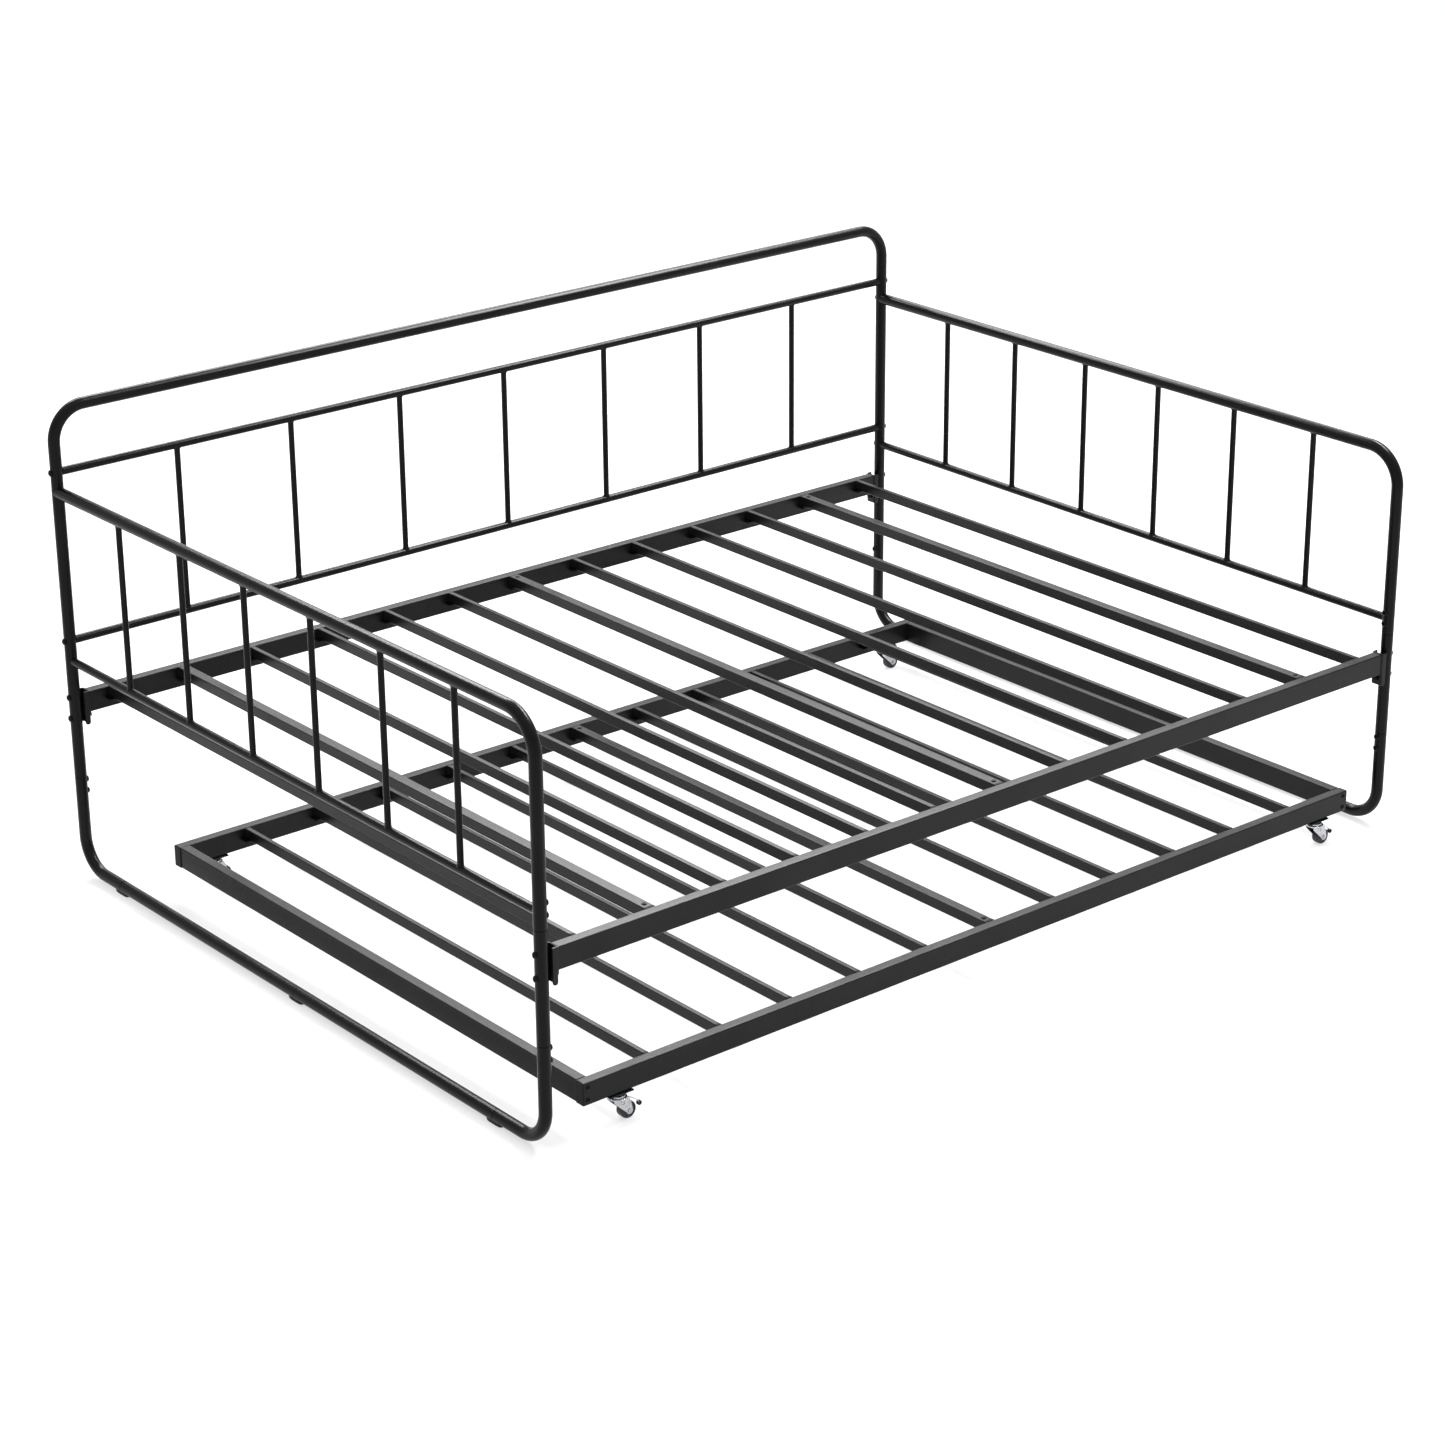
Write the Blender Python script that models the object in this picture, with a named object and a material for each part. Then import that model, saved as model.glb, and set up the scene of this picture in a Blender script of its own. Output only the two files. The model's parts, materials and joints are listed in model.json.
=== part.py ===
"""Tubular metal trundle bed: a daybed frame with spindle back and arms, a slatted deck,
and a slatted pull-out unit that rolls out from under it on four swivel casters.

World frame: +X along the bed, -Y is the open front, +Z up, floor at z = 0, metres.
"""
import math

import bmesh
import bpy
from mathutils import Vector

# ---------------------------------------------------------------- driving dimensions
POST_X = 0.970              # post centre line, half spacing along the bed
POST_Y = 0.694              # post centre line, half spacing across the bed
TUBE_R = 0.011              # round tube of posts, hoop, arms and base
THIN_R = 0.0075             # round tube of the lower arm rails and the back panel rails
SPINDLE_R = 0.0055
SPIGOT_R = 0.0094           # reduced tube end that plugs into the next tube
SOCKET_R = 0.0097
SOCKET_EXTRA = 0.001        # a socket is this much deeper than its spigot is long
GAP = 0.0003                # clearance between pieces that meet
FUSE = 0.003                # depth by which welded pieces run into each other
WELD_IN = 0.0008            # how far a rail runs into the wall of a socketed tube
END_IN_POST = 0.004         # a saddled rail starts this far from the post's centre line
CUT_PAST = 0.03             # how far a cutter runs past what it cuts

HOOP_Z = 0.8813             # centre line of the back's top rail
PANEL_Z = (0.4524, 0.7671)  # centre lines of the back panel's two rails
ARM_Z = 0.7306              # centre line of the arm's top rail
ARM_LOW_Z = 0.4145          # centre line of the arm's lower rail
FLOOR_Z = 0.015             # centre line of the floor bars
HOOP_BEND_R = 0.062
ARM_BEND_R = 0.067
BASE_BEND_R = 0.060
UPPER_SEAM_Z = 0.386        # arm tube meets the front post
LOWER_SEAM_Z = 0.190        # posts meet the base bends
UPPER_SPIGOT = 0.050
LOWER_SPIGOT = 0.040
FLOOR_SEAM_Y = 0.565        # base bend meets the floor bar
FLOOR_SPIGOT = 0.035

BACK_SPINDLE_PITCH = 0.2417
BACK_SPINDLES = 7
ARM_SPINDLE_PITCH = 0.1964
ARM_SPINDLES = 6

GLIDE_LENGTH = 0.040        # each glide is centred on a seam of the floor tubes
GLIDE_WIDTH = 0.019
GLIDE_TOP = 0.012
GLIDE_ROUND = 0.0015

RAIL_W = 0.020              # rectangular tube of the deck and trundle rails
RAIL_H = 0.040
RAIL_ROUND = 0.0016
DECK_TOP = 0.352
BRACKET_T = 0.0025          # channel bracket at a deck rail's end, open towards the post
BRACKET_W = 0.024
BRACKET_IN = 0.9445         # inner face of its web, from the bed's middle
BRACKET_OUT = 0.9567        # ends of its flanges, just short of the post
BRACKET_TOP = 0.3531
BRACKET_BOTTOM = 0.290
BRACKET_TAPER = 0.0012      # how far the flanges narrow below the rail
BRACKET_ROUND = 0.0035
NUT_R = 0.0055
NUT_H = 0.005
SLAT_H = 0.020
SLAT_NARROW = 0.010
SLAT_WIDE = 0.020
SLAT_ROUND = 0.0012
SLAT_PITCH = 0.150
DECK_SLATS = 13
WIDE_DECK_SLATS = (2, 7, 12)

TAB_DEPTH = 0.016           # ledge under a slat end, welded to the rail's inner face
TAB_T = 0.0022
TAB_SIDE = 0.007            # how far a ledge reaches to one side of a narrow slat
TAB_T_WIDE = 0.006
TAB_SIDE_WIDE = 0.002
SLAT_SCREW_IN = 0.015       # screw distance from the end of a wide slat

TRUNDLE_X = 0.892           # half length of the trundle
TRUNDLE_FRONT = -0.688
TRUNDLE_BACK = 0.515
TRUNDLE_TOP = 0.0925
TRUNDLE_SLATS = 11
SIDE_INSET = 0.0015         # side rail's outer face behind the long rails' ends
END_SCREW_X = 0.010         # end screw distance from a long rail's end
END_SCREW_Z = 0.011         # end screws above and below the rail's middle

HEAD_R = 0.0062             # bolt head on a post
HEAD_H = 0.0035
HEAD_SINK_THIN = 0.0008     # how far a head runs into the wall of a socketed tube
SCREW_R = 0.0045
SCREW_H = 0.0020
SCREW_SINK = 0.001
BRACKET_BOLTS_Z = (0.345, 0.305)
UPPER_BOLTS_Z = (0.4275, 0.4065)
LOWER_BOLTS_Z = (0.183, 0.161)

CASTER_X = 0.8175
MOUNT_L = 0.048             # caster plate under the rail
MOUNT_W = 0.019
MOUNT_T = 0.003
MOUNT_ROUND = 0.0008
CUP_R = 0.0085
RACE_R = 0.0130
RACE_TOP = 0.0462
RACE_BOTTOM = 0.0432
PLATE_R = 0.0162            # caster fork's top disc
PLATE_TOP = 0.0429
PLATE_LOW = 0.0400
PRESSED_EDGE = 0.0007       # edge rounding of the pressed race and disc
LEG_T = 0.0018
LEG_IN = 0.0086             # leg's inner face from the fork's middle plane
LEG_TOP_X = (-0.0125, 0.0145)
LEG_NECK_Z = 0.036          # the leg is full width above this
LEG_SWEEP_X = 0.0040        # how far the leg's rear corner runs out below the disc
LEG_END_R = 0.0062
LEG_ARC = (205, 365)        # degrees about the axle
LEG_ARC_STEPS = 6
WHEEL_R = 0.0150
WHEEL_W = 0.0156
WHEEL_Z = 0.0151            # axle height; the tread clears the floor by a hair
TRAIL = 0.017               # axle behind the swivel axis
AXLE_R = 0.0025
BORE_R = 0.0028
AXLE_NUT_R = 0.0042
AXLE_NUT_H = 0.0022
TREAD_ROUND = 0.0022
LEVER_PIN_X = 0.0125
LEVER_PIN_Z = 0.0362
LEVER_PIN_R = 0.0030
LEVER_BEND_X = 0.0290
LEVER_BEND_Z = 0.0335
LEVER_T = 0.0016
RING_X = 0.0430
RING_Z = 0.0165
RING_R = 0.0042
RING_HOLE_R = 0.0026
LEVER_W = 0.005

TUBE_SIDES = 16
THIN_SIDES = 12
SPINDLE_SIDES = 8
HEAD_SIDES = 8
RACE_SIDES = 20
PIN_SIDES = 12
SADDLE_SIDES = 32
BEND_STEPS = 6
WHEEL_SIDES = 28

BLACK = (0.012, 0.012, 0.013)
DARK_PLASTIC = (0.010, 0.010, 0.010)
CHROME = (0.78, 0.79, 0.80)

# Bolt heads stand out behind the back posts, and the front rail's brackets stand a little in
# front of the front posts, so the footprint's middle is this far from the middle of the posts;
# everything is moved by it at the end.
CENTRE_SHIFT_Y = (BRACKET_W / 2 - TUBE_R - HEAD_H) / 2

for old in list(bpy.data.objects):
    bpy.data.objects.remove(old, do_unlink=True)


# ---------------------------------------------------------------- mesh helpers
def finish_object(name, mesh, origin=(0.0, 0.0, 0.0), colour=BLACK, metallic=0.0, rough=0.42):
    """Make a named object whose own origin is at the given world point."""
    offset = Vector(origin)
    for vert in mesh.vertices:
        vert.co -= offset
    ob = bpy.data.objects.new(name, mesh)
    ob.location = offset
    bpy.context.scene.collection.objects.link(ob)
    mat = bpy.data.materials.new(name)
    mat.use_nodes = True
    shader = mat.node_tree.nodes["Principled BSDF"]
    shader.inputs["Base Color"].default_value = (*colour, 1.0)
    shader.inputs["Metallic"].default_value = metallic
    shader.inputs["Roughness"].default_value = rough
    mesh.materials.clear()
    mesh.materials.append(mat)
    mesh.shade_smooth()
    mesh.set_sharp_from_angle(angle=math.radians(32))
    return ob


def mesh_from_bm(bm):
    bmesh.ops.recalc_face_normals(bm, faces=bm.faces[:])
    mesh = bpy.data.meshes.new("piece")
    bm.to_mesh(mesh)
    bm.free()
    return mesh


def add_rings(bm, rings):
    """Skin a list of equal-sized loops of points into one closed body."""
    loops = [[bm.verts.new(p) for p in ring] for ring in rings]
    n = len(loops[0])
    for low, high in zip(loops, loops[1:]):
        for i in range(n):
            j = (i + 1) % n
            bm.faces.new((low[i], low[j], high[j], high[i]))
    bm.faces.new(list(reversed(loops[0])))
    bm.faces.new(loops[-1])


def circle(centre, axis, side, radius, sides):
    """Points of a circle about a unit axis; side is a unit vector square to it."""
    other = axis.cross(side)
    turn = [2 * math.pi * i / sides for i in range(sides)]
    return [centre + side * (radius * math.cos(a)) + other * (radius * math.sin(a)) for a in turn]


def lathe(bm, centre, axis, profile, sides):
    """Solid of revolution: profile is a list of (distance along axis, radius)."""
    centre = Vector(centre)
    axis = Vector(axis).normalized()
    side = Vector((0, 0, 1)) if abs(axis.z) < 0.9 else Vector((1, 0, 0))
    side = (side - axis * side.dot(axis)).normalized()
    add_rings(bm, [circle(centre + axis * t, axis, side, r, sides) for t, r in profile])


def rod(bm, start, end, radius, sides):
    start, end = Vector(start), Vector(end)
    lathe(bm, start, end - start, [(0.0, radius), ((end - start).length, radius)], sides)


def head(bm, point, axis, radius=HEAD_R, height=HEAD_H, sink=FUSE):
    """Domed bolt head standing on a surface point."""
    edge = [(-sink, radius), (height * 0.45, radius)]
    crown = [(height * 0.85, radius * 0.75), (height, radius * 0.35)]
    lathe(bm, point, axis, edge + crown, HEAD_SIDES)


def box(bm, low, high):
    low, high = Vector(low), Vector(high)
    rings = []
    for z in (low.z, high.z):
        rings.append([Vector((x, y, z)) for x, y in
                      ((low.x, low.y), (high.x, low.y), (high.x, high.y), (low.x, high.y))])
    add_rings(bm, rings)


def rounded_bar(bm, low, high, along, rounding):
    """Box with its four long edges rounded; along is 0 for X or 1 for Y."""
    low, high = Vector(low), Vector(high)
    across = 1 - along
    corners = ((high[across], high.z, 0), (low[across], high.z, 90),
               (low[across], low.z, 180), (high[across], low.z, 270))
    ring = []
    for edge, z, start in corners:
        inner_e = edge - rounding if edge == high[across] else edge + rounding
        inner_z = z - rounding if z == high.z else z + rounding
        for turn in (0, 45, 90):
            a = math.radians(start + turn)
            ring.append((inner_e + rounding * math.cos(a), inner_z + rounding * math.sin(a)))
    rings = []
    for t in (low[along], high[along]):
        loop = []
        for e, z in ring:
            p = Vector((0, 0, z))
            p[along] = t
            p[across] = e
            loop.append(p)
        rings.append(loop)
    add_rings(bm, rings)


def bent_path(corners, bend_r):
    """Points and unit tangents of a flat path with round bends at its inner corners."""
    corners = [Vector(c) for c in corners]
    first = (corners[1] - corners[0]).normalized()
    path = [(corners[0], first)]
    for before, here, after in zip(corners, corners[1:], corners[2:]):
        d_in = (here - before).normalized()
        d_out = (after - here).normalized()
        centre = here - d_in * bend_r + d_out * bend_r
        for k in range(BEND_STEPS + 1):
            a = math.pi / 2 * k / BEND_STEPS
            point = centre - d_out * (bend_r * math.cos(a)) + d_in * (bend_r * math.sin(a))
            path.append((point, d_in * math.cos(a) + d_out * math.sin(a)))
    last = (corners[-1] - corners[-2]).normalized()
    path.append((corners[-1], last))
    return path


def tube(bm, path, flat_normal, start=None, end=None, radius=TUBE_R, sides=TUBE_SIDES):
    """Round member along a path; each end is plain, ("spigot", length) or ("socket", depth)."""
    normal = Vector(flat_normal).normalized()
    stations = [(p, t, radius) for p, t in path]
    (p0, t0), (p1, t1) = path[0], path[-1]
    for kind, p, t, sign, place in ((start, p0, t0, -1, 0), (end, p1, t1, 1, -1)):
        if not kind:
            continue
        way, r = (1, SPIGOT_R) if kind[0] == "spigot" else (-1, SOCKET_R)
        extra = [(p, t, r), (p + t * (sign * way * kind[1]), t, r)]
        if place == 0:
            stations = list(reversed(extra)) + stations
        else:
            stations = stations + extra
    add_rings(bm, [circle(p, t, normal, r, sides) for p, t, r in stations])


def boolean(target, tool_bm, operation):
    """Join or cut a mesh with another one and return the result."""
    tool = bpy.data.objects.new("tool", mesh_from_bm(tool_bm))
    body = bpy.data.objects.new("body", target)
    for ob in (tool, body):
        bpy.context.scene.collection.objects.link(ob)
    mod = body.modifiers.new("join", "BOOLEAN")
    mod.operation = operation
    mod.solver = "EXACT"
    mod.object = tool
    graph = bpy.context.evaluated_depsgraph_get()
    result = bpy.data.meshes.new_from_object(body.evaluated_get(graph))
    for ob in (tool, body):
        bpy.data.objects.remove(ob, do_unlink=True)
    bm = bmesh.new()
    bm.from_mesh(result)
    bmesh.ops.remove_doubles(bm, verts=bm.verts[:], dist=1e-6)
    bmesh.ops.dissolve_limit(bm, angle_limit=math.radians(0.05), verts=bm.verts[:], edges=bm.edges[:])
    return mesh_from_bm(bm)


def joined(bm, *unions, cut=None):
    mesh = mesh_from_bm(bm)
    for tool in unions:
        mesh = boolean(mesh, tool, "UNION")
    if cut is not None:
        mesh = boolean(mesh, cut, "DIFFERENCE")
    return mesh


def spaced(count, pitch):
    return [(i - (count - 1) / 2) * pitch for i in range(count)]


def side_name(side):
    return "left" if side < 0 else "right"


def end_name(end):
    return "front" if end < 0 else "back"


# ---------------------------------------------------------------- back hoop and panel
def back_frame():
    corners = ((-POST_X, POST_Y, LOWER_SEAM_Z), (-POST_X, POST_Y, HOOP_Z),
               (POST_X, POST_Y, HOOP_Z), (POST_X, POST_Y, LOWER_SEAM_Z))
    bm = bmesh.new()
    end = ("spigot", LOWER_SPIGOT)
    tube(bm, bent_path(corners, HOOP_BEND_R), (0, 1, 0), end, end)
    heads = bmesh.new()
    for side in (-1, 1):
        for z in (*BRACKET_BOLTS_Z, *PANEL_Z):
            head(heads, (side * (POST_X + TUBE_R), POST_Y, z), (side, 0, 0))
        for z in (ARM_Z, ARM_LOW_Z):
            head(heads, (side * POST_X, POST_Y + TUBE_R, z), (0, 1, 0))
    finish_object("back_frame", joined(bm, heads))


def back_panel():
    bm = bmesh.new()
    reach = POST_X - END_IN_POST
    rod(bm, (-reach, POST_Y, PANEL_Z[0]), (reach, POST_Y, PANEL_Z[0]), THIN_R, THIN_SIDES)
    rod(bm, (-reach, POST_Y, PANEL_Z[1]), (reach, POST_Y, PANEL_Z[1]), THIN_R, THIN_SIDES)
    spindles = bmesh.new()
    for x in spaced(BACK_SPINDLES, BACK_SPINDLE_PITCH):
        low = (x, POST_Y, PANEL_Z[0] + THIN_R - FUSE)
        high = (x, POST_Y, PANEL_Z[1] - THIN_R + FUSE)
        rod(spindles, low, high, SPINDLE_R, SPINDLE_SIDES)
    posts = bmesh.new()
    for x in (-POST_X, POST_X):
        rod(posts, (x, POST_Y, PANEL_Z[0] - CUT_PAST), (x, POST_Y, PANEL_Z[1] + CUT_PAST),
            TUBE_R + GAP, SADDLE_SIDES)
    finish_object("back_panel", joined(bm, spindles, cut=posts))


# ---------------------------------------------------------------- arms and front posts
def arm(side):
    x = side * POST_X
    corners = ((x, POST_Y - END_IN_POST, ARM_Z), (x, -POST_Y, ARM_Z), (x, -POST_Y, UPPER_SEAM_Z))
    bm = bmesh.new()
    tube(bm, bent_path(corners, ARM_BEND_R), (1, 0, 0), None, ("socket", UPPER_SPIGOT + SOCKET_EXTRA))
    low_rail = bmesh.new()
    rod(low_rail, (x, POST_Y - END_IN_POST, ARM_LOW_Z), (x, -POST_Y + SOCKET_R + WELD_IN, ARM_LOW_Z),
        THIN_R, THIN_SIDES)
    spindles = bmesh.new()
    for y in spaced(ARM_SPINDLES, ARM_SPINDLE_PITCH):
        low = (x, y, ARM_LOW_Z + THIN_R - FUSE)
        high = (x, y, ARM_Z - TUBE_R + FUSE)
        rod(spindles, low, high, SPINDLE_R, SPINDLE_SIDES)
    heads = bmesh.new()
    for z in UPPER_BOLTS_Z:
        head(heads, (x - side * TUBE_R, -POST_Y, z), (-side, 0, 0), sink=HEAD_SINK_THIN)
    post = bmesh.new()
    rod(post, (x, POST_Y, ARM_LOW_Z - CUT_PAST), (x, POST_Y, ARM_Z + CUT_PAST), TUBE_R + GAP, SADDLE_SIDES)
    finish_object(side_name(side) + "_arm", joined(bm, low_rail, spindles, heads, cut=post))


def front_post(side):
    x = side * POST_X
    path = [(Vector((x, -POST_Y, LOWER_SEAM_Z + GAP)), Vector((0, 0, 1))),
            (Vector((x, -POST_Y, UPPER_SEAM_Z - GAP)), Vector((0, 0, 1)))]
    bm = bmesh.new()
    tube(bm, path, (1, 0, 0), ("spigot", LOWER_SPIGOT), ("spigot", UPPER_SPIGOT))
    heads = bmesh.new()
    for z in BRACKET_BOLTS_Z:
        head(heads, (x + side * TUBE_R, -POST_Y, z), (side, 0, 0))
    finish_object("front_" + side_name(side) + "_post", joined(bm, heads))


# ---------------------------------------------------------------- base
def glide(bm, x, y):
    low = (x - GLIDE_WIDTH / 2, y - GLIDE_LENGTH / 2, 0.0)
    high = (x + GLIDE_WIDTH / 2, y + GLIDE_LENGTH / 2, GLIDE_TOP)
    rounded_bar(bm, low, high, 1, GLIDE_ROUND)


def floor_socket(x, mouth, way):
    """Cutter for a floor tube's open end: its bore, and the bed in its glide for the next tube."""
    bm = bmesh.new()
    lathe(bm, (x, mouth, FLOOR_Z), (0, way, 0),
          [(-GLIDE_LENGTH, TUBE_R + GAP), (-GAP / 2, TUBE_R + GAP), (-GAP / 2, SOCKET_R),
           (FLOOR_SPIGOT + SOCKET_EXTRA, SOCKET_R)], SADDLE_SIDES)
    return bm


def base_bend(side, end):
    """Corner from the post down to the floor bar, with the glide under the seam between them."""
    x = side * POST_X
    corners = ((x, end * POST_Y, LOWER_SEAM_Z), (x, end * POST_Y, FLOOR_Z), (x, end * FLOOR_SEAM_Y, FLOOR_Z))
    bm = bmesh.new()
    tube(bm, bent_path(corners, BASE_BEND_R), (1, 0, 0), ("socket", LOWER_SPIGOT + SOCKET_EXTRA))
    foot = bmesh.new()
    glide(foot, x, end * FLOOR_SEAM_Y)
    heads = bmesh.new()
    for z in LOWER_BOLTS_Z:
        head(heads, (x - side * TUBE_R, end * POST_Y, z), (-side, 0, 0), sink=HEAD_SINK_THIN)
    mesh = joined(bm, foot, heads, cut=floor_socket(x, end * FLOOR_SEAM_Y, end))
    finish_object("base_bend_%s_%s" % (end_name(end), side_name(side)), mesh)


def floor_bar(side, end):
    """Straight floor tube; the back one plugs into the front one, which carries the middle glide."""
    x = side * POST_X
    inner, outer = end * GAP / 2, end * (FLOOR_SEAM_Y - GAP)
    ahead = Vector((0, end, 0))
    bm = bmesh.new()
    path = [(Vector((x, inner, FLOOR_Z)), ahead), (Vector((x, outer, FLOOR_Z)), ahead)]
    tube(bm, path, (1, 0, 0), ("spigot", FLOOR_SPIGOT) if end > 0 else None, ("spigot", FLOOR_SPIGOT))
    name = "floor_bar_%s_%s" % (end_name(end), side_name(side))
    if end > 0:
        finish_object(name, mesh_from_bm(bm))
        return
    foot = bmesh.new()
    glide(foot, x, 0.0)
    finish_object(name, joined(bm, foot, cut=floor_socket(x, inner, end)))


# ---------------------------------------------------------------- rails and slats
def slat_ledges(bm, xs, wide, face_y, inward, top):
    """Small ledges that carry the slat ends, welded to a rail's inner face."""
    for x, is_wide in zip(xs, wide):
        half = SLAT_WIDE / 2 if is_wide else SLAT_NARROW / 2
        reach = TAB_SIDE_WIDE if is_wide else TAB_SIDE
        thick = TAB_T_WIDE if is_wide else TAB_T
        y0, y1 = sorted((face_y - inward * FUSE, face_y + inward * TAB_DEPTH))
        high_z = top - SLAT_H - GAP
        box(bm, (x - half - reach, y0, high_z - thick), (x + half, y1, high_z))


def end_bracket(bm, side, y):
    """Upright channel: its web takes the two bolts and its flanges stand beside the post."""
    inner, outer = side * BRACKET_IN, side * BRACKET_OUT
    under_rail = DECK_TOP - RAIL_H
    web = sorted((inner, inner + side * BRACKET_T))
    low = BRACKET_BOTTOM + BRACKET_ROUND
    lower_inner = inner + side * BRACKET_TAPER
    box(bm, (web[0], y - BRACKET_W / 2, low), (web[1], y + BRACKET_W / 2, BRACKET_TOP))
    outline = [(outer, BRACKET_TOP), (inner, BRACKET_TOP), (inner, under_rail), (lower_inner, low),
               (lower_inner + side * BRACKET_ROUND, BRACKET_BOTTOM),
               (outer - side * BRACKET_ROUND, BRACKET_BOTTOM), (outer, low)]
    flanges = bmesh.new()
    for face in (-1, 1):
        faces = (y + face * BRACKET_W / 2, y + face * (BRACKET_W / 2 - BRACKET_T))
        add_rings(flanges, [[Vector((u, yy, w)) for u, w in outline] for yy in faces])
    return flanges


def deck_rail(end):
    y = end * POST_Y
    low = (-BRACKET_IN - BRACKET_T / 2, y - RAIL_W / 2, DECK_TOP - RAIL_H)
    high = (BRACKET_IN + BRACKET_T / 2, y + RAIL_W / 2, DECK_TOP)
    bm = bmesh.new()
    rounded_bar(bm, low, high, 0, RAIL_ROUND)
    webs = bmesh.new()
    flanges = [end_bracket(webs, side, y) for side in (-1, 1)]
    nuts = bmesh.new()
    for side in (-1, 1):
        point = (side * BRACKET_IN, y, BRACKET_BOLTS_Z[1])
        lathe(nuts, point, (-side, 0, 0), [(-BRACKET_T / 2, NUT_R), (NUT_H, NUT_R)], 6)
    xs = spaced(DECK_SLATS, SLAT_PITCH)
    wide = [n + 1 in WIDE_DECK_SLATS for n in range(DECK_SLATS)]
    ledges = bmesh.new()
    slat_ledges(ledges, xs, wide, y - end * RAIL_W / 2, -end, DECK_TOP)
    finish_object("deck_rail_" + end_name(end), joined(bm, webs, *flanges, nuts, ledges))


def slat(name, x, width, y0, y1, top, wide):
    bm = bmesh.new()
    rounded_bar(bm, (x - width / 2, y0, top - SLAT_H), (x + width / 2, y1, top), 1, SLAT_ROUND)
    if not wide:
        finish_object(name, mesh_from_bm(bm))
        return
    screws = bmesh.new()
    for y in (y0 + SLAT_SCREW_IN, y1 - SLAT_SCREW_IN):
        head(screws, (x, y, top), (0, 0, 1), SCREW_R, SCREW_H)
    finish_object(name, joined(bm, screws))


def deck_slats():
    reach = POST_Y - RAIL_W / 2 - GAP
    for n, x in enumerate(spaced(DECK_SLATS, SLAT_PITCH), 1):
        wide = n in WIDE_DECK_SLATS
        width = SLAT_WIDE if wide else SLAT_NARROW
        slat("deck_slat_%02d" % n, x, width, -reach, reach, DECK_TOP, wide)


def trundle_long_rail(end):
    face = TRUNDLE_FRONT if end < 0 else TRUNDLE_BACK
    y0, y1 = sorted((face, face - end * RAIL_W))
    bm = bmesh.new()
    low = (-TRUNDLE_X, y0, TRUNDLE_TOP - RAIL_H)
    rounded_bar(bm, low, (TRUNDLE_X, y1, TRUNDLE_TOP), 0, RAIL_ROUND)
    screws = bmesh.new()
    middle = TRUNDLE_TOP - RAIL_H / 2
    for side in (-1, 1):
        for lift in (-END_SCREW_Z, END_SCREW_Z):
            point = (side * (TRUNDLE_X - END_SCREW_X), face, middle + lift)
            head(screws, point, (0, end, 0), SCREW_R, SCREW_H, SCREW_SINK)
    xs = spaced(TRUNDLE_SLATS, SLAT_PITCH)
    wide = [abs(x) < SLAT_PITCH / 2 for x in xs]
    ledges = bmesh.new()
    slat_ledges(ledges, xs, wide, face - end * RAIL_W, -end, TRUNDLE_TOP)
    finish_object("trundle_rail_" + end_name(end), joined(bm, screws, ledges))


def trundle_side_rail(side):
    outer = side * (TRUNDLE_X - SIDE_INSET)
    x0, x1 = sorted((outer, outer - side * RAIL_W))
    bm = bmesh.new()
    low = (x0, TRUNDLE_FRONT + RAIL_W + GAP, TRUNDLE_TOP - RAIL_H)
    rounded_bar(bm, low, (x1, TRUNDLE_BACK - RAIL_W - GAP, TRUNDLE_TOP), 1, RAIL_ROUND)
    finish_object("trundle_rail_" + side_name(side), mesh_from_bm(bm))


def trundle_slats():
    y0 = TRUNDLE_FRONT + RAIL_W + GAP
    y1 = TRUNDLE_BACK - RAIL_W - GAP
    for n, x in enumerate(spaced(TRUNDLE_SLATS, SLAT_PITCH), 1):
        wide = abs(x) < SLAT_PITCH / 2
        width = SLAT_WIDE if wide else SLAT_NARROW
        slat("trundle_slat_%02d" % n, x, width, y0, y1, TRUNDLE_TOP, wide)


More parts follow.
